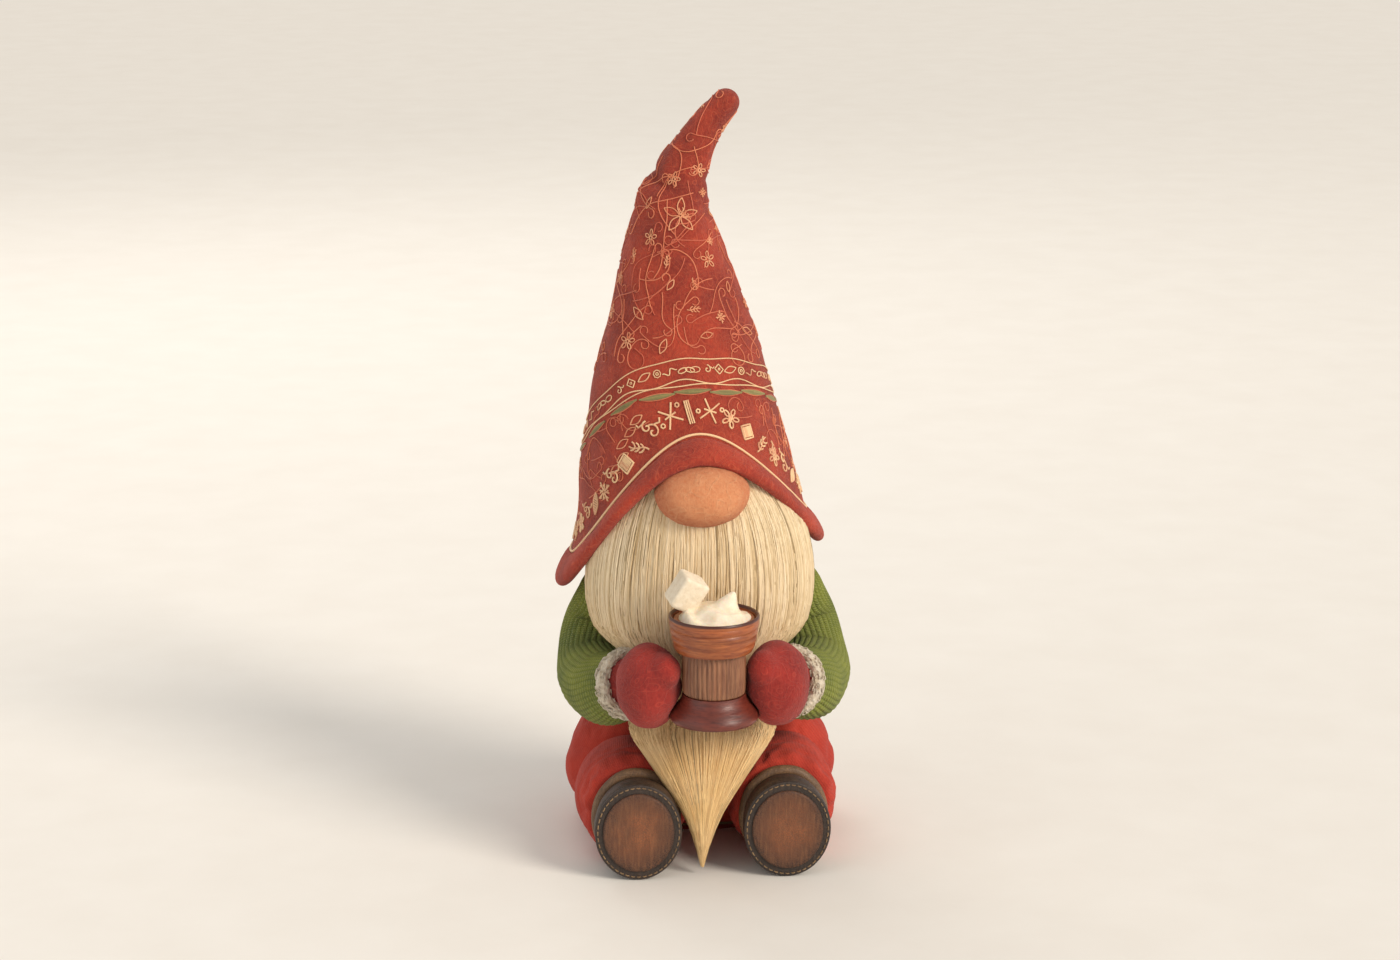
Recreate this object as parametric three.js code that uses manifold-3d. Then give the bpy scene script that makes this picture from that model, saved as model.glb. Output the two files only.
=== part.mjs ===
// A sitting tomte gnome, a stuffed folk figure of felt and knit: tall wired hat, round nose, long beard,
// mittened hands round a turned wooden mug, baggy trousers and leather boots with their soles to the front.
// Millimetres, +Z up. The figure faces -Y, its right hand is at -X, and it sits on Z = 0.
import * as THREE from "three";
import { mergeVertices } from "three/addons/utils/BufferGeometryUtils.js";
import Module from "manifold-3d";

// ---------- driving dimensions ----------
const GAP = 0.3; // left between pieces that touch
const FELT = 3; // thickness of the hat felt, trousers and jumper

const HAT = {
  rimBack: 167, // height of the brim at the sides and back
  archRise: 80, // how much higher the brim is over the nose
  tilt: 0.15, // the brim is lower on the figure's right
  hem: 19, // width of the padded brim, along the wall
  hemThickness: 7,
  lowerTop: 334, // where the lower felt ends
  lean: 0.055, // the cone leans to the figure's right as it rises
  leanFrom: 200,
  baseShift: -7,
};
const BEND = new THREE.Vector3(-15, 0, 345); // centre of the hat's bend
const BEND_BALL = 26.5;
const NECK = { height: 157.5, boltRadius: 3, discRadius: 18 };
const HEAD = { radius: 50, height: 212, y: -2, chin: 1.17 };
const NOSE = { x: -4, y: -66, z: 225, halfWidth: 27.5, halfDepth: 22, halfHeight: 18 };
const SHOULDER = { x: 54, y: -2, z: 146, radius: 21, rodRadius: 3 };
const HIP = { x: 45, y: -53.5, z: 33, radius: 32 };
const ANKLE_Y = -73.7;
const BOOT = { x: 44, halfWidth: 26, halfHeight: 29.8, soleY: -105.5, upperY: -100 };
const MUG = { y: -108, foot: 100, waist: 117, bowl: 143, rim: 163.6, waistRadius: 18, rimRadius: 26.5 };
const BEARD = { split: 134, thickness: 14 };
const TORSO = { base: 6.6, waist: 80, top: 157.2 };
const WIRE = 1.25; // radius of the armature wire

// ---------- materials ----------
const finish = (color, roughness, metalness = 0) =>
  new THREE.MeshStandardMaterial({ color, roughness, metalness });
const RED_FELT = finish("#b8412f", 0.95);
const CREAM_THREAD = finish("#e3c6a0", 0.8);
const OLIVE_THREAD = finish("#8a8255", 0.85);
const SKIN_FELT = finish("#d98a5f", 0.8);
const FLEECE = finish("#dcc49b", 0.75);
const GREEN_KNIT = finish("#7f8a3f", 0.95);
const WHITE_FLEECE = finish("#e8dcc8", 0.95);
const RED_KNIT = finish("#a83228", 0.95);
const RED_CLOTH = finish("#b53a2c", 0.9);
const DARK_LEATHER = finish("#4b372a", 0.5);
const TAN_LEATHER = finish("#8a5c3a", 0.55);
const TURNED_WOOD = finish("#b0643a", 0.5);
const RIBBED_WOOD = finish("#8f5f45", 0.6);
const DARK_WOOD = finish("#74382a", 0.5);
const COCOA = finish("#4a2a1c", 0.4);
const CREAM = finish("#efe6d6", 0.6);
const STUFFING = finish("#e9e6df", 1);
const HARDBOARD = finish("#8b6b4a", 0.8);
const STEEL = finish("#9a9da1", 0.35, 1);

// ---------- solids ----------
const wasm = await Module();
wasm.setup();

// A geometry's shared vertices merged, with its faces pointing out.
function closed(geometry) {
  const bare = new THREE.BufferGeometry();
  bare.setAttribute("position", geometry.getAttribute("position").clone());
  if (geometry.index) bare.setIndex(geometry.index.clone());
  const merged = mergeVertices(bare, 1e-3);
  const index = [];
  const old = merged.index.array;
  for (let i = 0; i < old.length; i += 3) {
    const [a, b, c] = [old[i], old[i + 1], old[i + 2]];
    if (a !== b && b !== c && a !== c) index.push(a, b, c);
  }
  merged.setIndex(index);
  if (solidOf(merged).volume() < 0) {
    for (let i = 0; i < index.length; i += 3) [index[i + 1], index[i + 2]] = [index[i + 2], index[i + 1]];
    merged.setIndex(index);
  }
  return merged;
}

function solidOf(geometry) {
  const vertProperties = new Float32Array(geometry.getAttribute("position").array);
  const triVerts = new Uint32Array(geometry.index.array);
  return new wasm.Manifold(new wasm.Mesh({ numProp: 3, vertProperties, triVerts }));
}

function geometryOf(solid) {
  const mesh = solid.getMesh();
  const geometry = new THREE.BufferGeometry();
  geometry.setAttribute("position", new THREE.BufferAttribute(new Float32Array(mesh.vertProperties), 3));
  geometry.setIndex(new THREE.BufferAttribute(new Uint32Array(mesh.triVerts), 1));
  return geometry;
}

const cut = (geometry, ...tools) =>
  geometryOf(tools.reduce((left, tool) => left.subtract(solidOf(tool)), solidOf(geometry)));
const join = (geometry, ...others) =>
  geometryOf(others.reduce((whole, other) => whole.add(solidOf(other)), solidOf(geometry)));

// Every vertex of a geometry moved by a function.
function shaped(geometry, move) {
  const moved = geometry.clone();
  const places = moved.getAttribute("position");
  const p = new THREE.Vector3();
  for (let i = 0; i < places.count; i++) {
    p.fromBufferAttribute(places, i);
    move(p);
    places.setXYZ(i, p.x, p.y, p.z);
  }
  return closed(moved);
}

// A profile of [radius, height] turned about Z. It starts and ends on the axis, or closes on itself.
function turned(profile, sides = 20) {
  const points = profile.map(([radius, height]) => new THREE.Vector2(radius, height));
  return closed(new THREE.LatheGeometry(points, sides).rotateX(Math.PI / 2));
}

const ring = (inner, outer, low, high, sides) =>
  turned([[inner, low], [outer, low], [outer, high], [inner, high], [inner, low]], sides);
const disc = (radius, low, high, sides) =>
  turned([[0, low], [radius, low], [radius, high], [0, high]], sides);
// A rod whose side is divided, so that it can be laid along a curve.
const rod = (radius, low, high) => turned([[0, low], ...heights(low, high, 10).map((z) => [radius, z]), [0, high]], 6);
const heights = (low, high, step) => {
  const count = Math.max(1, Math.round((high - low) / step));
  return Array.from({ length: count + 1 }, (_, i) => low + ((high - low) * i) / count);
};
const ball = (radius, sides = 20) => closed(new THREE.SphereGeometry(radius, sides, Math.round(sides * 0.6)));

// A geometry that stands along Z from 0 to length, laid along a curve. reference is square to the curve.
function along(geometry, curve, length, reference) {
  return shaped(geometry, (p) => {
    const u = THREE.MathUtils.clamp(p.z / length, 0, 1);
    const tangent = curve.getTangentAt(u);
    const side = reference.clone().cross(tangent).normalize();
    const other = tangent.clone().cross(side);
    const past = p.z - u * length;
    const { x, y } = p;
    p.copy(curve.getPointAt(u)).addScaledVector(tangent, past);
    p.addScaledVector(side, x).addScaledVector(other, y);
  });
}

const group = new THREE.Group();
function add(name, geometry, material) {
  const mesh = new THREE.Mesh(geometry, material);
  mesh.name = name;
  group.add(mesh);
  return mesh;
}
const smooth = (from, to, value) => THREE.MathUtils.smoothstep(value, from, to);
// A value read off a list of [place, value] pairs, with straight lines between them.
function read(table, at) {
  if (at <= table[0][0]) return table[0][1];
  for (let i = 1; i < table.length; i++) {
    const [[a, va], [b, vb]] = [table[i - 1], table[i]];
    if (at <= b) return va + ((vb - va) * (at - a)) / (b - a);
  }
  return table.at(-1)[1];
}

// ---------- base, torso and clothes ----------
const skinWidth = [[0, 50], [20, 59], [42, 61], [62, 55], [80, 46], [95, 42.4], [120, 42.4], [140, 38], [150, 32], [158, 24]];
const torsoY = [[0, 8], [80, 8], [150, 0]];
// The lap is flat in front, and the chest is round.
const lapDepth = (z) => THREE.MathUtils.lerp(0.56, 1, smooth(60, 95, z));
const hipWidth = (z) => THREE.MathUtils.lerp(1.26, 1, smooth(60, 95, z));

// A turned piece given the torso's lap and place.
const onTorso = (geometry) =>
  shaped(geometry, (p) => {
    p.x *= hipWidth(p.z);
    if (p.y < 0) p.y *= lapDepth(p.z);
    p.y += read(torsoY, p.z);
  });

// The heights at which the torso's outline turns, from low to high.
const torsoLevels = (low, high) =>
  [low, ...[...skinWidth.map(([z]) => z), 70, 107].filter((z) => z > low + 2 && z < high - 2), high].sort((a, b) => a - b);

// A skin over the torso from low to high, between two distances inside its outline.
function torsoSkin(low, high, outside, inside, sides = 22) {
  const levels = torsoLevels(low, high);
  const outer = levels.map((z) => [read(skinWidth, z) - outside, z]);
  const inner = levels.map((z) => [read(skinWidth, z) - inside, z]).reverse();
  return onTorso(turned([...outer, ...inner, outer[0]], sides));
}

function torsoFill(low, high, inside, sides = 22) {
  const outline = torsoLevels(low, high).map((z) => [read(skinWidth, z) - inside, z]);
  return onTorso(turned([[0, low], ...outline, [0, high]], sides));
}

const BASE_RADIUS = 46;
add("felt_base_pad", onTorso(disc(BASE_RADIUS, 0, 2, 32)), RED_CLOTH);
add("base_board", onTorso(disc(BASE_RADIUS - 1, 2 + GAP, TORSO.base - GAP, 32)), HARDBOARD);
const BAG_TOP = 36;
add("weight_bag", torsoFill(TORSO.base, BAG_TOP, FELT + 1.5), HARDBOARD);
add("trousers_seat", torsoSkin(TORSO.base, TORSO.waist - GAP, 0, FELT), RED_CLOTH);

const rodLength = 2 * SHOULDER.x + 4;
const rodAt = (radius, length) =>
  closed(new THREE.CylinderGeometry(radius, radius, length, 16).rotateZ(Math.PI / 2)).translate(
    0, SHOULDER.y, SHOULDER.z,
  );
add("shoulder_rod", rodAt(SHOULDER.rodRadius, rodLength), TURNED_WOOD);

const boltHead = { low: 149.4, high: 151.4, radius: 6 };
const lowerDisc = { low: 151.7, high: 154 };
const upperDisc = { low: 161, high: 163.5 };
const nut = { low: 163.8, high: 168, radius: 6 };
const BOLT_TOP = 170;
const boltRoom = NECK.boltRadius + GAP;
add(
  "neck_bolt",
  turned([
    [0, boltHead.low], [boltHead.radius, boltHead.low], [boltHead.radius, boltHead.high],
    [NECK.boltRadius, boltHead.high], [NECK.boltRadius, BOLT_TOP], [0, BOLT_TOP],
  ], 16),
  STEEL,
);
add("neck_nut", cut(disc(nut.radius, nut.low, nut.high, 6), disc(boltRoom, nut.low - 1, nut.high + 1, 16)), STEEL);
add("neck_disc_lower", ring(boltRoom, NECK.discRadius, lowerDisc.low, lowerDisc.high, 24), HARDBOARD);
const jumperRoof = TORSO.top - FELT;
add(
  "torso_stuffing",
  cut(
    torsoFill(BAG_TOP + GAP, jumperRoof - GAP, FELT + 1.5),
    rodAt(SHOULDER.rodRadius + GAP, 2 * rodLength),
    disc(NECK.discRadius + GAP, lowerDisc.low - GAP, TORSO.top, 24),
    disc(boltHead.radius + GAP, boltHead.low - GAP, TORSO.top, 16),
  ),
  STUFFING,
);
const jumperShell = join(
  torsoSkin(TORSO.waist, TORSO.top, 0, FELT),
  onTorso(disc(read(skinWidth, TORSO.top) - 1, jumperRoof, TORSO.top, 22)),
);
add(
  "jumper_body",
  cut(jumperShell, rodAt(SHOULDER.rodRadius + GAP, rodLength), disc(boltRoom + 1, 140, 170, 16)),
  GREEN_KNIT,
);
const HEM = { low: 73, high: 84, thickness: 4 };
add("jumper_hem", torsoSkin(HEM.low, HEM.high, -GAP - HEM.thickness, -GAP - 0.7), GREEN_KNIT);

// ---------- head, nose and beard ----------
const headBall = cut(
  shaped(ball(HEAD.radius, 20), (p) => {
    if (p.z < 0) p.z *= HEAD.chin;
    p.z = Math.max(p.z + HEAD.height, NECK.height);
    p.y += HEAD.y;
  }),
  disc(boltRoom, 150, BOLT_TOP + GAP, 16),
  disc(NECK.discRadius + GAP, upperDisc.low - GAP, upperDisc.high + GAP, 24),
  disc(nut.radius + GAP + 0.5, upperDisc.low, nut.high + GAP, 16),
);
const NOSE_PEG = { radius: 4, back: -36, front: -62 };
const pegAt = (radius, back, front) =>
  closed(new THREE.CylinderGeometry(radius, radius, back - front, 12)).translate(
    NOSE.x, (back + front) / 2, NOSE.z,
  );
add("nose_peg", pegAt(NOSE_PEG.radius, NOSE_PEG.back, NOSE_PEG.front), TURNED_WOOD);
add(
  "nose",
  cut(
    shaped(ball(1, 16), (p) => {
      p.set(p.x * NOSE.halfWidth, p.y * NOSE.halfDepth, p.z * NOSE.halfHeight);
      p.add(new THREE.Vector3(NOSE.x, NOSE.y, NOSE.z));
    }),
    pegAt(NOSE_PEG.radius + GAP, NOSE_PEG.back, NOSE_PEG.front - GAP),
    ball(HEAD.radius + GAP, 20).translate(0, HEAD.y, HEAD.height),
  ),
  SKIN_FELT,
);
add("neck_disc_upper", ring(boltRoom, NECK.discRadius, upperDisc.low, upperDisc.high, 24), HARDBOARD);

// A curtain that hangs round the Z axis in front of the face: a block whose X is its share of the half
// width, Y its depth and Z its height, with the outer radius and half angle read at each height.
function curtain(low, high, outerRadius, halfAngle, thickness, rows = 7, flatness = 1) {
  const block = new THREE.BoxGeometry(2, 1, high - low, 10, 1, rows);
  return shaped(block, (p) => {
    const z = p.z + (high + low) / 2;
    const edge = Math.abs(p.x) ** 3;
    const angle = THREE.MathUtils.degToRad(p.x * read(halfAngle, z));
    const middle = read(outerRadius, z) - thickness / 2;
    const radius = middle - p.y * thickness * (1 - 0.55 * edge) - 2 * edge;
    p.set(radius * Math.sin(angle), -radius * Math.cos(angle) * flatness, z);
  });
}
const beardRadius = [[134, 81], [175, 82], [205, 78], [222, 71], [238, 63]];
const beardAngle = [[134, 30], [141, 46], [149, 52], [172, 52], [190, 47], [205, 41], [222, 38], [238, 30]];
add(
  "beard_upper",
  cut(
    curtain(BEARD.split + GAP, 236, beardRadius, beardAngle, BEARD.thickness, 9, 0.9),
    shaped(ball(1, 16), (p) => {
      p.set(p.x * (NOSE.halfWidth + 0.6), p.y * (NOSE.halfDepth + 0.6), p.z * (NOSE.halfHeight + 0.6));
      p.add(new THREE.Vector3(NOSE.x, NOSE.y, NOSE.z));
    }),
    ball(HEAD.radius + 1, 20).translate(0, HEAD.y, HEAD.height),
  ),
  FLEECE,
);
const STRIP = { low: 186, high: 204, radius: 57, angle: 42, thickness: 3 };
add(
  "beard_backing_strip",
  curtain(STRIP.low, STRIP.high, [[0, STRIP.radius]], [[0, STRIP.angle]], STRIP.thickness, 1),
  SKIN_FELT,
);

// The beard below the head is squeezed between the hands, spreads over the lap and ends in a point.
const beardPath = new THREE.CatmullRomCurve3([
  new THREE.Vector3(0, -65, 132.5),
  new THREE.Vector3(0, -62, 115),
  new THREE.Vector3(0, -65, 95),
  new THREE.Vector3(-1, -79, 70),
  new THREE.Vector3(-3, -89, 45),
  new THREE.Vector3(-5, -95, 9),
]);
const beardHalfWidth = [[0, 27], [0.12, 26], [0.31, 27], [0.38, 41], [0.46, 40], [0.56, 30], [0.68, 20], [0.83, 9.5], [1, 1.5]];
const beardHalfDepth = [[0, 7], [0.2, 7.5], [0.35, 10], [0.5, 10], [0.7, 8], [1, 1.5]];
const BEARD_LENGTH = beardPath.getLength();
const beardRings = 13;
const beardCone = turned(
  [[0, 0], ...heights(0, 1, 1 / beardRings).map((u) => [1, u * BEARD_LENGTH]), [0, BEARD_LENGTH]], 20,
);
add(
  "beard_lower",
  along(
    shaped(beardCone, (p) => {
      const u = p.z / BEARD_LENGTH;
      p.set(p.x * read(beardHalfDepth, u), p.y * read(beardHalfWidth, u), p.z);
    }),
    beardPath,
    BEARD_LENGTH,
    new THREE.Vector3(1, 0, 0),
  ),
  FLEECE,
);

// ---------- hat ----------
const rimHeight = (angle) => {
  const front = Math.max(0, Math.cos(angle));
  return HAT.rimBack + HAT.archRise * front * front + HAT.tilt * 84 * Math.sin(angle);
};
const coneRadius = [
  [150, 74], [170, 72], [192, 69], [218, 66.5], [239, 63], [259, 58], [280, 53], [304, 46], [319, 40.5], [345, 33.5],
];
const spineX = (z) => HAT.baseShift - HAT.lean * (z - HAT.leanFrom);
// The wall's outer radius: a cone that flares out just above the brim's edge.
const wallRadius = (angle, z) => {
  const flare = THREE.MathUtils.lerp(11, 6, (1 - Math.cos(angle)) / 2);
  return read(coneRadius, z) + flare * Math.exp(-Math.max(0, z - rimHeight(angle)) / 13);
};
// A point of the wall: angle 0 is the front, rise is the height over the brim's edge.
function wallPoint(angle, z, inward) {
  const radius = wallRadius(angle, z) - inward;
  return new THREE.Vector3(spineX(z) + radius * Math.sin(angle), -radius * Math.cos(angle), z);
}

// A band of the hat's wall. from and to give its height at each angle.
function wallBand(from, to, outside, inside, rows, sides = 30) {
  const profile = [];
  for (let i = 0; i <= rows; i++) profile.push([2, i / rows]);
  for (let i = rows; i >= 0; i--) profile.push([1, i / rows]);
  profile.push([2, 0]);
  return shaped(turned(profile, sides), (p) => {
    const angle = Math.atan2(p.x, -p.y);
    const inward = Math.hypot(p.x, p.y) > 1.5 ? outside : inside;
    p.copy(wallPoint(angle, THREE.MathUtils.lerp(from(angle), to(angle), p.z), inward));
  });
}
const hemTop = (angle) => rimHeight(angle) + HAT.hem;
add("hat_brim", wallBand(rimHeight, hemTop, -2, HAT.hemThickness - 2, 3), RED_FELT);
const BODY_TOP = () => HAT.lowerTop;
add("hat_body", wallBand((a) => hemTop(a) + 1, BODY_TOP, 0, FELT, 5), RED_FELT);

// A cord laid on the hat's wall at a height that goes with the angle.
function wallCord(height, thickness) {
  const loop = new THREE.TorusGeometry(10, 1, 5, 30);
  return shaped(loop, (p) => {
    const round = Math.atan2(p.y, p.x);
    const out = (Math.hypot(p.x, p.y) - 10) * thickness;
    const up = p.z * thickness;
    p.copy(wallPoint(round, height(round) + up, -out - thickness - GAP));
  });
}
add("hat_piping", wallCord((a) => hemTop(a) + 2.2, 1.2), CREAM_THREAD);
const bandLow = (angle) => 282 + 0.1 * (rimHeight(angle) - HAT.rimBack);
add("hat_ribbon", wallBand(bandLow, (a) => bandLow(a) + 9, -GAP - 1.2, -GAP, 1), OLIVE_THREAD);

const bendBall = (radius) => ball(radius, 18).translate(BEND.x, BEND.y, BEND.z);
const wireLean = (radius, low, high) =>
  shaped(disc(radius, low, high, 8), (p) => {
    p.x += spineX(p.z);
  });
const WIRE_FOOT = 236;
add("hat_wire", wireLean(WIRE, WIRE_FOOT, BEND.z - BEND_BALL - 1), STEEL);
const STUFFING_FOOT = HEAD.height + HEAD.radius + GAP;
const STUFFING_TOP = HAT.lowerTop - 8;
const stuffingOutline = [STUFFING_FOOT, 285, 304, 319, STUFFING_TOP].map((z) => [read(coneRadius, z) - FELT - 1.5, z]);
add(
  "hat_stuffing",
  cut(
    shaped(turned([[0, STUFFING_FOOT], ...stuffingOutline, [0, STUFFING_TOP]], 20), (p) => {
      p.x += spineX(p.z);
    }),
    bendBall(BEND_BALL + 1.2),
    wireLean(WIRE + GAP, STUFFING_FOOT - 1, HAT.lowerTop),
  ),
  STUFFING,
);
add(
  "head_ball",
  cut(
    headBall,
    pegAt(NOSE_PEG.radius + GAP, NOSE_PEG.back + GAP, NOSE_PEG.front),
    wireLean(WIRE + GAP, WIRE_FOOT - GAP, HEAD.height + HEAD.radius + 5),
  ),
  SKIN_FELT,
);

const topPath = new THREE.CatmullRomCurve3(
  [[-15, 345], [-16.5, 365], [-16, 383], [-12.5, 401], [-5.5, 418], [3.5, 433], [14.5, 446]].map(
    ([x, z]) => new THREE.Vector3(x, 0, z),
  ),
);
const TOP_LENGTH = topPath.getLength();
const topRadius = [[0, 33], [0.17, 27.5], [0.33, 22.5], [0.49, 18], [0.65, 14], [0.8, 11.5], [1, 9.5]];
const acrossHat = new THREE.Vector3(0, 1, 0);
const topShare = [0, 0.17, 0.33, 0.5, 0.67, 0.84, 1];
const topOutline = (inward) => topShare.map((u) => [read(topRadius, u) - inward, u * TOP_LENGTH]);
// The rounded end of the tip, from its widest ring to the axis.
const tipCap = (radius) =>
  [30, 60].map((degrees) => {
    const a = THREE.MathUtils.degToRad(degrees);
    return [radius * Math.cos(a), TOP_LENGTH + radius * Math.sin(a)];
  });
const TIP = read(topRadius, 1);
const innerTip = TIP - FELT;
const topShell = [
  ...topOutline(0), ...tipCap(TIP), [0, TOP_LENGTH + TIP],
  [0, TOP_LENGTH + innerTip], ...tipCap(innerTip).reverse(), ...topOutline(FELT).reverse(),
];
add("hat_top", along(turned([...topShell, topShell[0]], 18), topPath, TOP_LENGTH, acrossHat), RED_FELT);
const fillTip = innerTip - GAP;
const topFill = along(
  turned([[0, 0], ...topOutline(FELT + GAP), ...tipCap(fillTip), [0, TOP_LENGTH + fillTip]], 18),
  topPath, TOP_LENGTH, acrossHat,
);
const topWire = (radius, length, foot) =>
  join(
    along(rod(radius, 0, length), topPath, TOP_LENGTH, acrossHat),
    disc(radius, foot, 1, 8).translate(BEND.x, BEND.y, BEND.z),
  );
const WIRE_END = TOP_LENGTH * 0.94;
add("hat_top_wire", topWire(WIRE, WIRE_END, 1 - BEND_BALL), STEEL);
add("hat_top_stuffing", cut(join(topFill, bendBall(BEND_BALL)), topWire(WIRE + GAP, WIRE_END + GAP, -BEND_BALL - 1)), STUFFING);

// ---------- mug, cream and marshmallow ----------
const atMug = (geometry) => geometry.translate(0, MUG.y, 0);
const mugFoot = [[0, 0], [24, 0], [25.5, 3], [25, 6.5], [20.5, 12], [18.5, 17 - GAP], [0, 17 - GAP]];
add("mug_foot", atMug(turned(mugFoot.map(([r, z]) => [r, z + MUG.foot]), 20)), DARK_WOOD);
add("mug_staves", atMug(disc(MUG.waistRadius, MUG.waist, MUG.bowl - GAP, 20)), RIBBED_WOOD);
const CUP = { wall: 2.5, floor: 147, top: 162 };
const hoopFace = [[MUG.bowl, 20.5], [150, 22.5], [CUP.top, 24]];
add(
  "mug_cup",
  atMug(
    turned([
      [0, MUG.bowl], [20, MUG.bowl], [22, 150], [23.5, CUP.top], [23.5 - CUP.wall, CUP.top],
      [22 - CUP.wall, 150], [19, CUP.floor], [0, CUP.floor],
    ], 20),
  ),
  TURNED_WOOD,
);
const hoopInner = hoopFace.map(([z, r]) => [r, z]);
add(
  "mug_hoop",
  atMug(turned([...hoopInner, [MUG.rimRadius, MUG.rim], [25.5, 152], [22.5, MUG.bowl], hoopInner[0]], 20)),
  TURNED_WOOD,
);
const cocoaTop = 156;
add("mug_cocoa", atMug(turned([[0, CUP.floor + GAP], [18.3, CUP.floor + GAP], [19, 150], [20, cocoaTop], [0, cocoaTop]], 20)), COCOA);
const marshmallowAt = new THREE.Matrix4().compose(
  new THREE.Vector3(-15.5, MUG.y + 4, 176.5),
  new THREE.Quaternion().setFromEuler(new THREE.Euler(0.25, 0.5, 0.35)),
  new THREE.Vector3(1, 1, 1),
);
const MARSHMALLOW = { width: 15, depth: 14, height: 19 };
const marshmallow = (grow) =>
  closed(
    new THREE.BoxGeometry(MARSHMALLOW.width + grow, MARSHMALLOW.depth + grow, MARSHMALLOW.height + grow),
  ).applyMatrix4(marshmallowAt);
const creamPeak = turned([[0, 0], [6, 2], [3.5, 10], [0, 18]], 12)
  .rotateY(0.85)
  .translate(6, MUG.y, 163);
add(
  "mug_cream",
  cut(
    join(atMug(turned([[0, cocoaTop + GAP], [20, cocoaTop + GAP], [20.5, 161], [17, 168], [9, 172], [0, 172.5]], 20)), creamPeak),
    marshmallow(2 * GAP),
  ),
  CREAM,
);
add("marshmallow", marshmallow(0), CREAM);
// The room that the mug takes up between the hands.
const mugRoom = atMug(
  turned([
    [0, 99], [24.6, 99], [26.1, 103], [25.6, 107], [21.2, 112.5], [19, 116.5], [18.6, 118], [18.6, 142],
    [23.2, 142.5], [26.2, 152], [27.2, 166], [0, 166],
  ], 20),
);

// ---------- arms ----------
const WRIST = { radius: 17.5, cuff: 7 };
const ARMPIT = 42.8; // the arms keep outside this distance from the middle where they pass the torso
const sleeveRadius = [[-1, 21], [0, 21], [0.3, 22.5], [0.62, 23], [0.85, 21], [1, WRIST.radius]];

for (const [name, side] of [["right", -1], ["left", 1]]) {
  const path = new THREE.CatmullRomCurve3(
    [
      [54, -2, 146], [61.5, -3, 126], [65, -20, 106], [60, -47, 102], [49, -68, 110],
    ].map(([x, y, z]) => new THREE.Vector3(side * x, y, z)),
  );
  const length = path.getLength();
  const forward = path.getTangentAt(1);
  const reference = new THREE.Vector3(1, 0, 0);
  const lay = (geometry) => along(geometry, path, length, reference);

  const shoulderCap = [60, 30].map((degrees) => {
    const a = THREE.MathUtils.degToRad(degrees);
    return [SHOULDER.radius * Math.cos(a), -SHOULDER.radius * Math.sin(a)];
  });
  const tube = heights(0, 1, 1 / 8).map((u) => [read(sleeveRadius, u), u * length]);
  const sleeve = turned([[0, -SHOULDER.radius], ...shoulderCap, ...tube, [0, length]], 16);
  const wireStart = length * 0.16;
  // The room has the same rings as the wire, so that they bend alike.
  const wireRoom = (radius, past) => lay(rod(radius, wireStart, length + past));
  const discAt = (radius, half) =>
    closed(new THREE.CylinderGeometry(radius, radius, 2 * half, 20).rotateZ(Math.PI / 2)).translate(
      side * (ARMPIT + GAP + 3), SHOULDER.y, SHOULDER.z,
    );
  const DISC = { radius: 13, half: 1.25 };
  const besideTorso = closed(new THREE.BoxGeometry(60, 70, 140)).translate(side * (ARMPIT - 30), 10, 130);
  const MITTEN_REACH = 18;
  add(
    `${name}_shoulder_disc`,
    cut(discAt(DISC.radius, DISC.half), rodAt(SHOULDER.rodRadius + GAP, 2 * rodLength)),
    HARDBOARD,
  );
  add(
    `${name}_sleeve`,
    cut(
      lay(sleeve),
      rodAt(SHOULDER.rodRadius + GAP, rodLength + 2 * GAP),
      discAt(DISC.radius + GAP, DISC.half + GAP),
      wireRoom(WIRE + GAP, MITTEN_REACH),
      besideTorso,
    ),
    GREEN_KNIT,
  );
  add(`${name}_arm_wire`, lay(rod(WIRE, wireStart + GAP, length + MITTEN_REACH - GAP)), STEEL);

  const cuffProfile = [[0, 0], [WRIST.radius - 1, 0], [WRIST.radius + 3, 2], [WRIST.radius + 3, WRIST.cuff - 2], [WRIST.radius - 1, WRIST.cuff], [0, WRIST.cuff]];
  const cuffShape = turned(cuffProfile.map(([r, z]) => [r, z + length + GAP]), 16);
  add(`${name}_cuff`, cut(lay(cuffShape), wireRoom(WIRE + GAP, MITTEN_REACH)), WHITE_FLEECE);

  // The hand is a stuffed oval from the cuff to the mug, with a thumb over the rim side of the waist.
  const centre = new THREE.Vector3(side * 37, -98, 118.5);
  const hand = shaped(ball(1, 16), (p) => p.set(centre.x + p.x * 19, centre.y + p.y * 23, centre.z + p.z * 25));
  const thumb = shaped(ball(1, 12), (p) =>
    p.set(side * 27 + p.x * 9, -117 + p.y * 9, 135 + p.z * 8),
  );
  const cuffRoom = lay(turned([[0, -30], [40, -30], [40, WRIST.cuff + GAP], [0, WRIST.cuff + GAP]].map(([r, z]) => [r, z + length + GAP]), 16));
  add(
    `${name}_mitten`,
    cut(join(hand, thumb), mugRoom, cuffRoom, wireRoom(WIRE + GAP, MITTEN_REACH)),
    RED_KNIT,
  );
}

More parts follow.
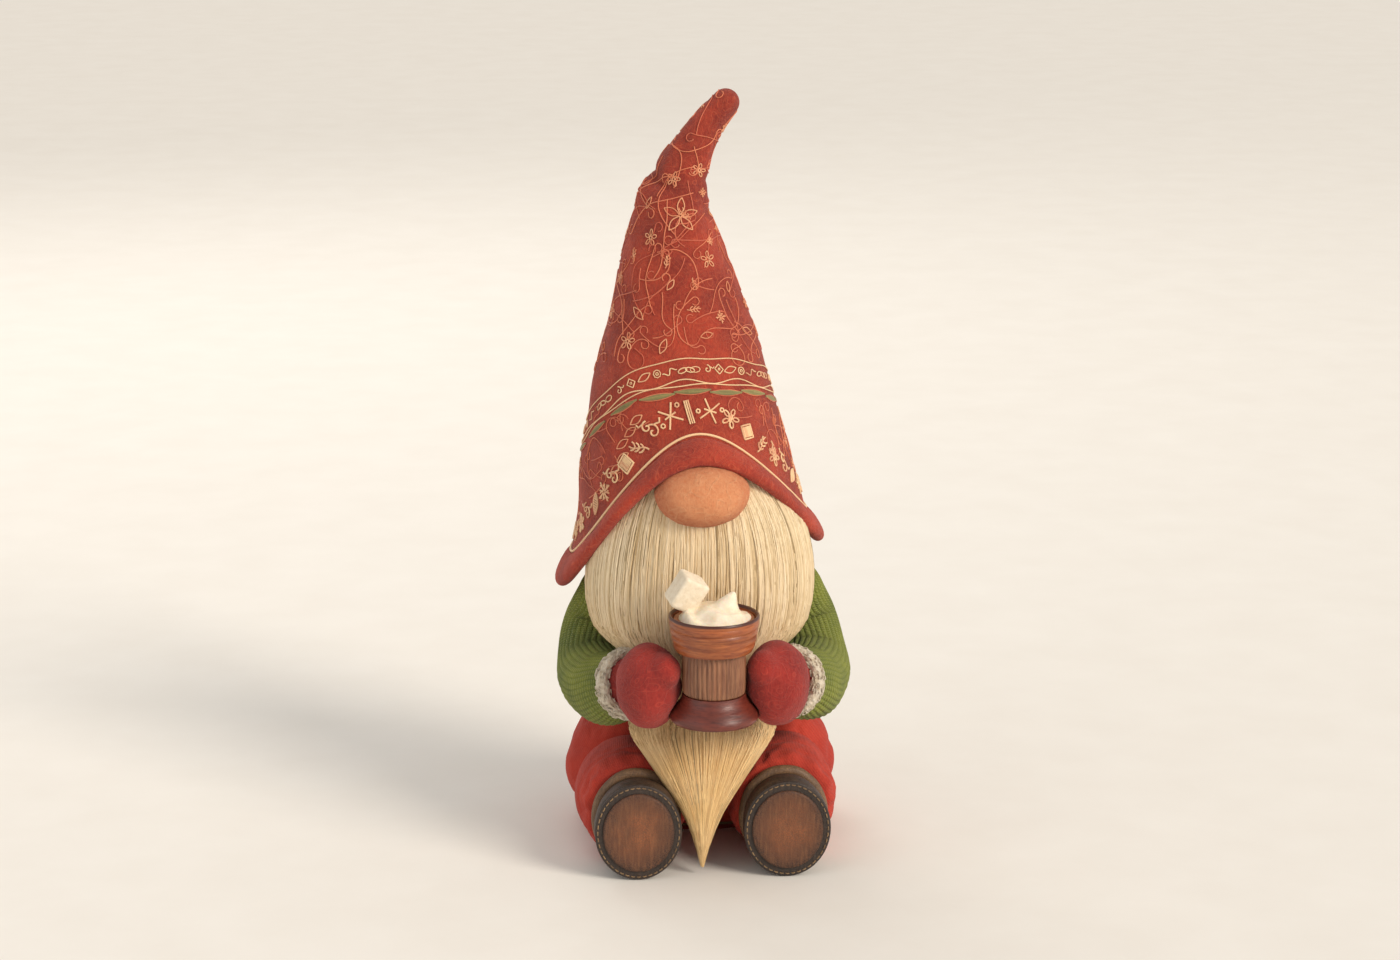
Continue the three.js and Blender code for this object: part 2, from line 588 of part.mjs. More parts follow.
// ---------- legs and boots ----------
const LEG_END = 28;
for (const [name, side] of [["right", -1], ["left", 1]]) {
  // A profile of [radius, distance in front of the hip], turned about the leg's own line.
  const legPiece = (profile, sides = 18) => turned(profile, sides).rotateX(Math.PI / 2);
  const legLength = HIP.y - ANKLE_Y;
  const back = [-60, -30].map((degrees) => {
    const a = THREE.MathUtils.degToRad(degrees);
    return [HIP.radius * Math.cos(a), HIP.radius * Math.sin(a)];
  });
  const leg = legPiece([[0, -HIP.radius], ...back, [HIP.radius, 0], [HIP.radius - 1, 10], [LEG_END, legLength], [0, legLength]]);
  add(`${name}_trouser_leg`, leg.translate(side * HIP.x, HIP.y, HIP.z), RED_CLOTH);

  // Each boot piece is an oval slice between two distances in front of the boot's back.
  const bootBack = ANKLE_Y - GAP;
  const oval = (profile, sides = 22) =>
    shaped(turned(profile, sides), (p) => {
      const { x, y, z } = p;
      p.set(side * BOOT.x + x * BOOT.halfWidth, bootBack - z, BOOT.halfHeight + y * BOOT.halfHeight);
    });
  const upper = bootBack - BOOT.upperY;
  const collar = 5;
  add(`${name}_boot_collar`, oval([[0, 0], [0.82, 0], [0.88, 1.5], [0.84, collar], [0, collar]]), TAN_LEATHER);
  add(
    `${name}_boot_upper`,
    oval([[0, collar + GAP], [0.8, collar + GAP], [0.93, collar + 6], [0.99, upper - 6], [0.96, upper], [0, upper]]),
    DARK_LEATHER,
  );
  const welt = upper + GAP;
  add(`${name}_boot_welt`, oval([[0.82, welt], [0.97, welt], [1, welt + 1.6], [0.97, welt + 3.2], [0.82, welt + 3.2], [0.82, welt]]), DARK_LEATHER);
  const soleFront = bootBack - BOOT.soleY;
  add(`${name}_boot_sole`, oval([[0, welt], [0.8, welt], [0.8, soleFront - 1.5], [0.74, soleFront], [0, soleFront]]), TAN_LEATHER);
}

export default group;
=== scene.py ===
"""The looks of a sitting tomte gnome: felt hat, wool beard, knitted jumper, turned mug, cloth trousers, boots."""

import math

import bpy
import numpy as np
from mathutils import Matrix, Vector


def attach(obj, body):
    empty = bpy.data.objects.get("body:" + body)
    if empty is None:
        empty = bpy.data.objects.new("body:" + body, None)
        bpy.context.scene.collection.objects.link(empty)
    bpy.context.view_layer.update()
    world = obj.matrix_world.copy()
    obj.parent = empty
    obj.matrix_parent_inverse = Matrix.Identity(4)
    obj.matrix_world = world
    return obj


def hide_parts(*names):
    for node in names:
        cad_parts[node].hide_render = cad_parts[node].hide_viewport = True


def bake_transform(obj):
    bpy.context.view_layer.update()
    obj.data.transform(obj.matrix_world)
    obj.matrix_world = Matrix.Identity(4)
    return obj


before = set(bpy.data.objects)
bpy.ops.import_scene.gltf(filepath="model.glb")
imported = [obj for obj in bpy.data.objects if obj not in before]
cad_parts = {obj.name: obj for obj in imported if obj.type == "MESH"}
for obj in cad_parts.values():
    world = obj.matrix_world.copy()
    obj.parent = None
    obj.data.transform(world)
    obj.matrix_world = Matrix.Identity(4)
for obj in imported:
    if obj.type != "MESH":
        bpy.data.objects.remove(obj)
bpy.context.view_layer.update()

bl_info = {
    "name": "Tomte gnome figurine",
    "version": (1, 0, 0),
    "blender": (4, 5, 0),
    "location": "3D View > Sidebar > Tomte",
    "description": "Builds a stuffed tomte gnome that holds a turned mug",
    "category": "Add Mesh",
}

MM = 0.001
TAU = 2 * math.pi
SEED = 12


# ---------- numbers and curves ----------
def smooth(low, high, value):
    """0 below low, 1 above high, and an even ease between them."""
    share = np.clip((value - low) / (high - low), 0, 1)
    return share * share * (3 - 2 * share)


def spline(table):
    """A smooth curve through (place, value) pairs. A value may be a point."""
    places = np.array([row[0] for row in table], float)
    values = np.array([row[1] for row in table], float)
    slopes = np.gradient(values, places, axis=0)

    def at(place):
        place = np.asarray(place, float)
        i = np.clip(np.searchsorted(places, place) - 1, 0, len(places) - 2)
        span = places[i + 1] - places[i]
        s = np.clip((place - places[i]) / span, 0, 1)
        if values.ndim > 1:
            s, span = s[..., None], span[..., None]
        rise = values[i + 1] - values[i]
        a, b = slopes[i] * span - rise, rise - slopes[i + 1] * span
        return values[i] + s * rise + s * (1 - s) * ((1 - s) * a + s * b)

    return at


def lumps(points, size, seed=0):
    """Soft bumps from -1 to 1 over points in millimetres, about one size apart."""
    draw = np.random.default_rng(SEED + seed)
    total = 0
    for _ in range(7):
        way = draw.normal(size=3)
        way *= TAU / size / np.linalg.norm(way) * draw.uniform(0.5, 1.1)
        total = total + np.sin(points @ way + draw.uniform(0, TAU))
    return total / 4


class Path:
    """A smooth line through points, read by the length along it."""

    def __init__(self, points):
        points = np.array(points, float)
        line = spline(list(enumerate(points)))(np.linspace(0, len(points) - 1, 400))
        step = np.linalg.norm(np.diff(line, axis=0), axis=1)
        self.line = line
        self.run = np.concatenate([[0], np.cumsum(step)])
        self.length = self.run[-1]
        self.slope = np.gradient(line, self.run, axis=0)

    def at(self, run):
        """The points and directions at lengths along the line, which goes on straight past its ends."""
        inside = np.clip(run, 0, self.length)
        pick = lambda rows: np.stack([np.interp(inside, self.run, rows[:, k]) for k in range(3)], -1)
        point, way = pick(self.line), pick(self.slope)
        way /= np.linalg.norm(way, axis=-1, keepdims=True)
        return point + way * (run - inside)[..., None], way


# ---------- making pieces ----------
def deselect():
    if bpy.context.mode != "OBJECT":
        bpy.ops.object.mode_set(mode="OBJECT")
    bpy.ops.object.select_all(action="DESELECT")


def primitive(name, kind, **settings):
    """Adds a primitive with nothing else selected, and names it."""
    deselect()
    getattr(bpy.ops.mesh, f"primitive_{kind}_add")(**settings)
    piece = bpy.context.object
    piece.name = piece.data.name = name
    return piece


def pick_only(piece):
    deselect()
    piece.select_set(True)
    bpy.context.view_layer.objects.active = piece


def places(piece):
    """A piece's vertices in millimetres."""
    co = np.empty(len(piece.data.vertices) * 3)
    piece.data.vertices.foreach_get("co", co)
    return co.reshape(-1, 3) / MM


def put(piece, points):
    piece.data.vertices.foreach_set("co", (np.asarray(points) * MM).ravel())
    piece.data.update()


def tidy(piece, gap=0.01):
    """Merges vertices that meet, and turns every face outwards."""
    pick_only(piece)
    bpy.ops.object.mode_set(mode="EDIT")
    bpy.ops.mesh.select_all(action="SELECT")
    bpy.ops.mesh.remove_doubles(threshold=gap * MM)
    bpy.ops.mesh.normals_make_consistent(inside=False)
    bpy.ops.object.mode_set(mode="OBJECT")


def modify(piece, kind, **settings):
    """Adds a modifier and applies it."""
    pick_only(piece)
    modifier = piece.modifiers.new(kind.title(), kind)
    for key, value in settings.items():
        setattr(modifier, key, value)
    bpy.ops.object.modifier_apply(modifier=modifier.name)


def settle(piece):
    """Puts the object at the origin, unturned and unscaled, with its place in its mesh."""
    pick_only(piece)
    bpy.ops.object.transform_apply(location=True, rotation=True, scale=True)


def surface(name, columns, rows, lay):
    """A grid laid on a surface: lay(u, v) gives points in millimetres for u and v from 0 to 1."""
    piece = primitive(name, "grid", x_subdivisions=columns, y_subdivisions=rows, size=1)
    flat = places(piece) * MM + 0.5
    put(piece, lay(flat[:, 0], flat[:, 1]))
    tidy(piece)
    bpy.ops.object.shade_smooth()
    return piece


def turned(name, profile, centre, steps=96):
    """A closed profile of (radius, height) spun round an upright line, as on a lathe."""
    piece = primitive(name, "circle", vertices=len(profile), fill_type="NOTHING")
    put(piece, [(radius + centre[0], centre[1], height) for radius, height in profile])
    pick_only(piece)
    bpy.ops.object.mode_set(mode="EDIT")
    bpy.ops.mesh.select_all(action="SELECT")
    middle = (centre[0] * MM, centre[1] * MM, 0)
    bpy.ops.mesh.spin(steps=steps, angle=TAU, center=middle, axis=(0, 0, 1))
    bpy.ops.object.mode_set(mode="OBJECT")
    tidy(piece)
    bpy.ops.object.shade_smooth_by_angle(angle=math.radians(35))
    return piece


def threads(name, lines, radius, sides=4, closed=False):
    """Round threads along lines of points, as one mesh. Each thread may have its own radii, and gets its own tone."""
    curve = bpy.data.curves.new(name, "CURVE")
    curve.dimensions = "3D"
    curve.bevel_depth = MM
    curve.bevel_resolution = (sides - 4) // 2
    curve.use_fill_caps = True
    counts = []
    for number, line in enumerate(lines):
        row = curve.splines.new("POLY")
        row.points.add(len(line) - 1)
        flat = np.concatenate([np.asarray(line) * MM, np.ones((len(line), 1))], 1)
        row.points.foreach_set("co", flat.ravel())
        widths = radius[number] if isinstance(radius, list) else np.full(len(line), radius)
        row.points.foreach_set("radius", widths)
        row.use_cyclic_u = closed
        counts.append(len(line))
    piece = bpy.data.objects.new(name, curve)
    bpy.context.scene.collection.objects.link(piece)
    pick_only(piece)
    bpy.ops.object.convert(target="MESH")
    piece = bpy.context.object
    bpy.ops.object.shade_smooth()
    draw = np.random.default_rng(SEED + len(lines))
    share = len(piece.data.vertices) / sum(counts)
    tone = np.repeat(draw.uniform(0, 1, len(lines)), [round(share * count) for count in counts])
    values = np.resize(tone, len(piece.data.vertices)).astype(np.float32)
    piece.data.attributes.new("tone", "FLOAT", "POINT").data.foreach_set("value", values)
    return piece


def stuff(piece, voxel, slack, cap, pinned):
    """Stuffs a cloth piece. The cloth is cut a little too big, so it swells and creases between its sewn places."""
    modify(piece, "REMESH", mode="VOXEL", voxel_size=voxel * MM)
    start = places(piece)
    group = piece.vertex_groups.new(name="sewn")
    group.add([int(k) for k in np.flatnonzero(pinned(start))], 1, "REPLACE")
    cloth = piece.modifiers.new("Cloth", "CLOTH")
    cloth.settings.use_pressure = True
    cloth.settings.uniform_pressure_force = 4
    cloth.settings.shrink_min = -slack
    cloth.settings.bending_stiffness = 0.2
    cloth.settings.vertex_group_mass = "sewn"
    cloth.settings.effector_weights.gravity = 0
    for step in range(1, 21):
        bpy.context.scene.frame_set(step)
    pick_only(piece)
    bpy.ops.object.modifier_apply(modifier=cloth.name)
    bpy.context.scene.frame_set(1)
    move = places(piece) - start
    far = np.linalg.norm(move, axis=1, keepdims=True)
    put(piece, start + move * np.minimum(1, cap / np.maximum(far, 1e-9)))
    piece.vertex_groups.clear()
    modify(piece, "SUBSURF", levels=1, render_levels=1)
    bpy.ops.object.shade_smooth()


def dress(piece, finish, body=None, replaces=()):
    """Gives a piece its finish, its body, and the frame's nodes that it stands for."""
    piece.data.materials.clear()
    piece.data.materials.append(material(finish))
    if body:
        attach(piece, body)
    if replaces:
        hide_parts(*replaces)
    return piece


def sides():
    """The names of the figure's own sides, with the sign of X on each."""
    return (("right", -1), ("left", 1))


# ---------- materials ----------
def linear(code):
    """A linear colour from sRGB hex."""
    values = [int(code[i : i + 2], 16) / 255 for i in (1, 3, 5)]
    return [v / 12.92 if v <= 0.04045 else ((v + 0.055) / 1.055) ** 2.4 for v in values]


def per(millimetres):
    """A texture scale whose pattern repeats about once in this many millimetres."""
    return 1 / (millimetres * MM)


def add(tree, kind, inputs=None, **settings):
    """Adds a node with its settings, and sets or links its inputs."""
    made = tree.nodes.new("ShaderNode" + kind)
    for key, value in settings.items():
        setattr(made, key, value)
    for key, value in (inputs or {}).items():
        if isinstance(value, bpy.types.NodeSocket):
            tree.links.new(value, made.inputs[key])
        else:
            made.inputs[key].default_value = value
    return made


def begin(name, roughness, **sockets):
    """A new material and its tree, with the shader's plain settings."""
    made = bpy.data.materials.new(name)
    made.use_nodes = True
    shader = made.node_tree.nodes["Principled BSDF"]
    shader.inputs["Roughness"].default_value = roughness
    for key, value in sockets.items():
        shader.inputs[key.replace("_", " ")].default_value = value
    return made, made.node_tree


def finished(made, colour, *heights):
    """Gives a material its colour, and bumps from (height, depth in millimetres) pairs."""
    tree, normal = made.node_tree, None
    shader = tree.nodes["Principled BSDF"]
    tree.links.new(colour, shader.inputs["Base Color"])
    for height, depth in heights:
        inputs = {"Height": height, "Distance": depth * MM, "Strength": 1}
        if normal:
            inputs["Normal"] = normal
        normal = add(tree, "Bump", inputs).outputs[0]
    tree.links.new(normal, shader.inputs["Normal"])
    return made


def tint(colour):
    """A colour from sRGB hex, or one that the user chose, by its name. A node's output passes as it is."""
    if not isinstance(colour, str):
        return colour
    return (*linear(colour), 1) if colour[0] == "#" else tuple(getattr(bpy.context.scene.tomte_colours, colour))


def size(key):
    """A size that the user chose: a length in millimetres, or a count."""
    value = getattr(bpy.context.scene.tomte_sizes, key)
    return value if isinstance(value, int) else value / MM


def laid(tree, base, colour, share, amount=1):
    """A colour laid over a base, by a share that runs from 0 to 1 over the surface, times an amount."""
    if amount != 1:
        share = add(tree, "Math", {0: share, 1: amount}, operation="MULTIPLY").outputs[0]
    return add(tree, "Mix", {0: share, 6: tint(base), 7: tint(colour)}, data_type="RGBA").outputs[2]


def where(tree, scale=(1, 1, 1), centre=(0, 0, 0), turn=(0, 0, 0)):
    """Object coordinates, centred, turned and scaled."""
    place = add(tree, "TexCoord").outputs["Object"]
    moved = add(tree, "Mapping", {0: place, 1: [-c for c in centre]}, vector_type="POINT")
    return add(tree, "Mapping", {0: moved.outputs[0], 2: turn, 3: scale}).outputs[0]


def noise(tree, vector, spot, detail=3, rough=0.55, low=0.3, high=0.7):
    """Noise whose spots are about this many millimetres, stretched to run from 0 to 1."""
    spots = add(tree, "TexNoise", {"Vector": vector, "Scale": per(spot), "Detail": detail, "Roughness": rough})
    return add(tree, "MapRange", {0: spots.outputs[0], 1: low, 2: high}).outputs[0]


def outside(tree, centre, half, start, end):
    """0 within an oval round a centre in millimetres, and 1 outside it, the same on the figure's two sides."""
    parts = add(tree, "SeparateXYZ", {0: where(tree)})
    total = None
    for axis, middle, reach in zip(parts.outputs, centre, half):
        if reach:
            shift = middle
            if axis.name == "X":
                shift = abs(middle)
                axis = add(tree, "Math", {0: axis}, operation="ABSOLUTE").outputs[0] if middle else axis
            off = add(tree, "Math", {0: axis, 1: -shift * MM}, operation="ADD").outputs[0]
            part = add(tree, "Math", {0: off, 1: 1 / (reach * MM)}, operation="MULTIPLY").outputs[0]
            square = add(tree, "Math", {0: part, 1: 2}, operation="POWER").outputs[0]
            total = square if total is None else add(tree, "Math", {0: total, 1: square}).outputs[0]
    return add(tree, "MapRange", {0: total, 1: start, 2: end}).outputs[0]


def scribbles(tree, spot, levels):
    """Thin wandering lines, like fibres on the face of felt: the level lines of a slow noise."""
    line = add(tree, "TexNoise", {"Vector": where(tree), "Scale": per(spot), "Detail": 1, "Roughness": 0.4}).outputs[0]
    for operation, value in (("MULTIPLY", levels), ("PINGPONG", 1)):
        line = add(tree, "Math", {0: line, 1: value}, operation=operation).outputs[0]
    return add(tree, "MapRange", {0: line, 1: 0.2, 2: 0.02}).outputs[0]


def wool_felt(name, colour, dark, light, fibre=0.9, sheen=0.1, edge_blush_and_shade=None):
    """Pressed wool felt: matt, cloudy where the fleece was laid unevenly, with fine fibres wandering on its face."""
    made, tree = begin(name, 0.95, Sheen_Weight=sheen, Sheen_Roughness=0.5)
    at = where(tree)
    flecks = noise(tree, at, 2.2, 5, 0.7)
    across = noise(tree, where(tree, (1, 1, 0.22), turn=(0.5, 0.4, 0.3)), fibre, 4, 0.7)
    face = laid(tree, dark, colour, noise(tree, at, 30, 4, 0.6, 0.36, 0.62))
    lines, strength = scribbles(tree, 17, 26), 0.34
    if edge_blush_and_shade:
        blush_and_shade, *oval = edge_blush_and_shade
        lines, strength = scribbles(tree, 14, 9), 0.14
        # Painted shade and a rosy tint: the face darkens and reddens outside an oval that faces the front.
        face = laid(tree, face, blush_and_shade, outside(tree, *oval, 0.25, 1.05))
    for shade, share, amount in ((light, flecks, 0.4), (dark, across, 0.4), (light, lines, strength)):
        face = laid(tree, face, shade, share, amount)
    return finished(made, face, (flecks, 0.35), (across, 0.3), (lines, 0.18))


def combed_wool():
    """Long combed wool locks: a low sheen along the fibre, and brown, golden and ivory strands side by side."""
    made, tree = begin("combed_long_wool", 0.6, Specular_IOR_Level=0.35)
    tone = add(tree, "Attribute", attribute_name="tone").outputs["Fac"]
    streaks = noise(tree, where(tree, (1, 1, 0.06)), 1.1, 3, 0.6)
    # The roots, under the nose and the brim, are ivory, and the ends are golden.
    height = add(tree, "SeparateXYZ", {0: where(tree)}).outputs[2]
    low = add(tree, "MapRange", {0: height, 1: 0.16, 2: 0.06}).outputs[0]
    wool = laid(tree, laid(tree, "#d6ba8c", "beard_root", tone), laid(tree, "#c09258", "beard_tip", tone), low)
    # One strand in fifteen or so is brown, and draws the thin lines between the locks.
    brown = add(tree, "MapRange", {0: tone, 1: 0.075, 2: 0.03}).outputs[0]
    patches = noise(tree, where(tree), 32, 2)
    for shade, share, amount in (("#957a52", brown, 1), ("#a0804d", streaks, 0.2), ("#fff0cf", patches, 0.18)):
        wool = laid(tree, wool, shade, share, amount)
    return finished(made, wool, (streaks, 0.35))


def rib_knit(name, colour, dark, light, rows, ribs=None):
    """Ribbed wool knit: columns of V stitches on the piece's own UV map, in loops about 2 mm high."""
    made, tree = begin(name, 0.95, Sheen_Weight=0.06)
    uv = add(tree, "SeparateXYZ", {0: add(tree, "TexCoord").outputs["UV"]})
    arm = uv.outputs[0]
    ribs = ribs or size("sleeve_ribs")
    for operation, value in (("MULTIPLY", ribs), ("FRACT", 0), ("SUBTRACT", 0.5), ("ABSOLUTE", 0)):
        arm = add(tree, "Math", {0: arm, 1: value}, operation=operation).outputs[0]
    loop = add(tree, "Math", {0: uv.outputs[1], 1: rows, 2: arm}, operation="MULTIPLY_ADD").outputs[0]
    for operation, value in (("MULTIPLY", TAU), ("SINE", 0)):
        loop = add(tree, "Math", {0: loop, 1: value}, operation=operation).outputs[0]
    loop = add(tree, "MapRange", {0: loop, 1: -1, 2: 1}).outputs[0]
    gap = add(tree, "MapRange", {0: arm, 1: 0.5, 2: 0.3}).outputs[0]
    height = add(tree, "Math", {0: loop, 1: gap}, operation="MULTIPLY").outputs[0]
    fuzz = noise(tree, where(tree), 1.2, 5, 0.7)
    wool = laid(tree, dark, colour, noise(tree, where(tree), 22, 3))
    # Painted highlight: the stitches' crests are painted lighter, so the gaps between the ribs read as shade; the fuzz
    # adds random darker flecks.
    wool = laid(tree, laid(tree, wool, light, height, 0.35), dark, fuzz, 0.35)
    return finished(made, wool, (height, 0.5), (fuzz, 0.3))


def brushed_cloth():
    """Brushed cotton twill: a soft nap over fine diagonal ribs, 1 mm apart, coarser than real to show."""
    made, tree = begin("brushed_cotton_twill_red", 0.94, Sheen_Weight=0.04)
    at = where(tree)
    twill = {"Vector": where(tree, turn=(0.3, 0.6, 0.2)), "Scale": per(1.0) / TAU * 1.6, "Distortion": 1.2,
             "Detail": 2, "Detail Scale": 2}
    rib = add(tree, "TexWave", twill, wave_type="BANDS").outputs["Fac"]
    nap = noise(tree, at, 1.1, 5, 0.7)
    cloth = laid(tree, "#a02a20", "trousers", noise(tree, at, 30, 4))
    cloth = laid(tree, laid(tree, cloth, "#651713", rib, 0.18), "#d8543c", nap, 0.3)
    return finished(made, cloth, (rib, 0.12), (nap, 0.25))


def short_fleece():
    """Short curly fleece: matt white clumps of curls, 2 mm across, with cream shadows between."""
    made, tree = begin("short_curly_fleece_white", 1, Sheen_Weight=0.3)
    at = where(tree)
    curls = add(tree, "TexVoronoi", {"Vector": at, "Scale": per(2.2)}, feature="SMOOTH_F1").outputs[0]
    fuzz = noise(tree, at, 0.8, 5, 0.75)
    pile = add(tree, "MapRange", {0: curls, 1: 0.75, 2: 0.15}).outputs[0]
    wool = laid(tree, laid(tree, "#cfbd9f", "fleece", pile), "#d8c7ac", fuzz, 0.3)
    return finished(made, wool, (pile, 0.9), (fuzz, 0.4))


def waxed_leather(name, colour, dark, light, rough=0.5, edge_shade=None):
    """Waxed cowhide: pebbled grain 1.3 mm across, darker in its pores, rubbed paler in patches."""
    made, tree = begin(name, rough, Coat_Weight=0.12, Coat_Roughness=0.4)
    at = where(tree)
    pebble = add(tree, "TexVoronoi", {"Vector": at, "Scale": per(1.3)}, feature="DISTANCE_TO_EDGE").outputs[0]
    pores = add(tree, "MapRange", {0: pebble, 1: 0, 2: 0.12}).outputs[0]
    rubbed = noise(tree, at, 14, 5, 0.65)
    scratches = noise(tree, where(tree, (1, 1, 0.12), turn=(0.1, 0.2, 0.4)), 1.4, 4, 0.7, 0.45, 0.75)
    hide = laid(tree, dark, colour, rubbed)
    if edge_shade:
        # Painted shade: darker outside an oval, so that a flat face looks rounded at its edge.
        hide = laid(tree, hide, "#2f1d13", outside(tree, *edge_shade))
    hide = laid(tree, laid(tree, dark, hide, pores), light, scratches, 0.3)
    return finished(made, hide, (pores, 0.12), (rubbed, 0.4), (scratches, 0.1))


def turned_wood(name, colour, dark, light, stretch, rough=0.42, lip=None, centre=(0, -108)):
    """Oiled turned wood: grain lines about 1.6 mm apart that follow the stretch, with darker year rings."""
    made, tree = begin(name, rough, Coat_Weight=0.2, Coat_Roughness=0.3)
    grains = ((1.6, 4, 0.65), (5.5, 3, 0.5), (0.6, 2, 0.6, 0.5, 0.7))
    middle = (centre[0] * MM, centre[1] * MM, 0)
    grain, broad, pores = (noise(tree, where(tree, stretch, middle), *how) for how in grains)
    wood = laid(tree, laid(tree, dark, colour, broad), light, grain, 0.55)
    wood = laid(tree, wood, dark, pores, 0.4)
    if lip:
        # The lip was stained darker than the rest, from a height in millimetres.
        height = add(tree, "SeparateXYZ", {0: where(tree)}).outputs[2]
        edge = add(tree, "MapRange", {0: height, 1: (lip - 0.3) * MM, 2: (lip + 0.3) * MM}).outputs[0]
        wood = laid(tree, wood, "#4a1f14", edge)
    return finished(made, wood, (grain, 0.12), (pores, 0.06))


def plain_with_grain(name, colour, dark, spot, roughness, depth, **sockets):
    """A quiet finish with the slight unevenness that its making leaves."""
    made, tree = begin(name, roughness, **sockets)
    patches, fine = noise(tree, where(tree), spot, 4), noise(tree, where(tree), spot / 6, 4)
    return finished(made, laid(tree, colour, dark, patches, 0.6), (patches, depth), (fine, depth / 3))


def cotton_thread(name, colour, dark):
    """Stranded embroidery cotton: a silky twist, each stitch a little lighter or darker than the next."""
    made, tree = begin(name, 0.55, Sheen_Weight=0.15)
    tone = add(tree, "Attribute", attribute_name="tone").outputs["Fac"]
    twist = noise(tree, where(tree), 0.7, 3)
    return finished(made, laid(tree, laid(tree, dark, colour, tone), dark, twist, 0.3), (twist, 0.15))


# Each finish: how it is made, its name, its colours, then its own settings. A colour may be one that the user chose.
ALONG_X, ALONG_Z, LEVEL = (0.1, 1, 1), (1, 1, 0.08), (0.12, 0.12, 1)
SOLE_EDGE_SHADE = ((44, 0, 31), (22, 0, 25), 0.05, 0.95)
EDGE_BLUSH_AND_SHADE = ("#b95a33", (0, -66, 228), (29, 0, 19.5))
GREENS = ("#56652a", "#b9b862")
MATERIALS = {
    # Red wool felt, pressed, for the hat: matt and cloudy.
    "hat_felt": (wool_felt, "pressed_wool_felt_red", "hat", "#781d17", "#d5623f"),
    # The brim's felt was cut from a length with less cloud in it.
    "brim_felt": (wool_felt, "pressed_wool_felt_brim", "brim", "#8c241b", "#dd6745"),
    # Needle felt: fleece jabbed into a hard ball, so its fibres lie every way. Its edge, seen from the front, is
    # painted rosier and darker: partly a rosy tint, partly painted shade that makes the ball look round.
    "nose_felt": (wool_felt, "needle_felt_skin", "nose", "#cf7a4c", "#f5c496", 0.7, 0.06, EDGE_BLUSH_AND_SHADE),
    # Boiled wool: knitted, then felted until the stitches close.
    "boiled_wool": (wool_felt, "boiled_wool_red", "mittens", "#7c1a19", "#c74b3a", 1.2, 0.1),
    "head_felt": (wool_felt, "pressed_wool_felt_skin", "#cf8a63", "#b06a45", "#e6ad86"),
    "pad_felt": (wool_felt, "pressed_wool_felt_pad", "#93291f", "#701c16", "#b04537"),
    "beard": (combed_wool,),
    "knit": (rib_knit, "ribbed_wool_knit_green", "knit", *GREENS, 66),
    "jumper_knit": (rib_knit, "ribbed_wool_knit_jumper", "knit", *GREENS, 36, 110),
    "hem_knit": (rib_knit, "ribbed_wool_knit_hem", "#727c30", "#475423", "#a3a452", 7, 120),
    "trousers": (brushed_cloth,),
    "fleece": (short_fleece,),
    "cream_thread": (cotton_thread, "stranded_cotton_cream", "cream_thread", "#dc9d76"),
    "salmon_thread": (cotton_thread, "stranded_cotton_salmon", "salmon_thread", "#c4593d"),
    "peach_thread": (cotton_thread, "stranded_cotton_peach", "#f0b184", "#d0754e"),
    "olive_thread": (cotton_thread, "stranded_cotton_olive", "#a3955c", "#787043"),
    "waxed_thread": (cotton_thread, "waxed_linen_thread", "#a07f57", "#6b5133"),
    "boot_leather": (waxed_leather, "waxed_cowhide_dark", "boots", "#2b1f17", "#74563c"),
    "welt_leather": (waxed_leather, "waxed_welt_hide", "#3a2a20", "#221914", "#5d4634"),
    "collar_leather": (waxed_leather, "waxed_cowhide_tan", "#8d6a49", "#5e452f", "#b08c66"),
    # The soles are painted darker round the edge, a painted shade that rounds their flat faces, so they stay paler in
    # the middle.
    "sole_leather": (waxed_leather, "rubbed_sole_leather", "soles", "#633c24", "#ab7247", 0.6, SOLE_EDGE_SHADE),
    "hoop_wood": (turned_wood, "oiled_cherry_hoop", "mug", "#5e2413", "#c97a41", LEVEL, 0.4, 162.6),
    "stave_wood": (turned_wood, "oiled_beech_reeds", "#8f5a3d", "#5c3424", "#b78661", ALONG_Z, 0.55),
    "foot_wood": (turned_wood, "stained_beech_foot", "#66261b", "#3f1611", "#8a3f2d", (0.15, 0.15, 1)),
    "beech": (turned_wood, "sanded_beech_dowel", "#c59b6c", "#a57a4e", "#dcb98d", ALONG_X, 0.6, None, (0, 0)),
    "marshmallow": (plain_with_grain, "dusted_foam_white", "#f6e9d2", "#dcc8a8", 3, 0.85, 0.25),
    "cocoa": (plain_with_grain, "cast_resin_cocoa", "#4d2b1d", "#2f1810", 6, 0.3, 0.1),
    "hardboard": (plain_with_grain, "pressed_hardboard", "#8b6b4a", "#6b4f35", 2, 0.8, 0.1),
    "canvas": (plain_with_grain, "cotton_canvas_bag", "#b7a78b", "#978769", 1.2, 0.95, 0.3),
    # Air-dry clay, painted and matt, stands for the whipped cream.
    "cream": (plain_with_grain, "air_dry_clay_cream", "#f8ecd6", "#dcc7a4", 5, 0.55, 0.3),
    "steel": (plain_with_grain, "drawn_steel_wire", "#a2a5a9", "#85888c", 3, 0.32, 0.02),
}
SOCKETS = {"cream": {"Subsurface_Weight": 0.15, "Subsurface_Scale": 0.002}, "steel": {"Metallic": 1}}
_made = {}


def material(name):
    """A finish by its short name, made the first time it is asked for."""
    if name not in _made:
        maker, *settings = MATERIALS[name]
        _made[name] = maker(*settings, **SOCKETS.get(name, {}))
    return _made[name]


def colour_of(name, description, code):
    return bpy.props.FloatVectorProperty(name=name, description=description, subtype="COLOR", size=4, min=0, max=1,
                                         default=tint(code))


def span(name, description, millimetres, low=0.1, high=80):
    return bpy.props.FloatProperty(name=name, description=description, default=millimetres * MM, min=low * MM,
                                   max=high * MM, unit="LENGTH", subtype="DISTANCE")


def number(name, description, count, low=3, high=2000):
    return bpy.props.IntProperty(name=name, description=description, default=count, min=low, max=high)


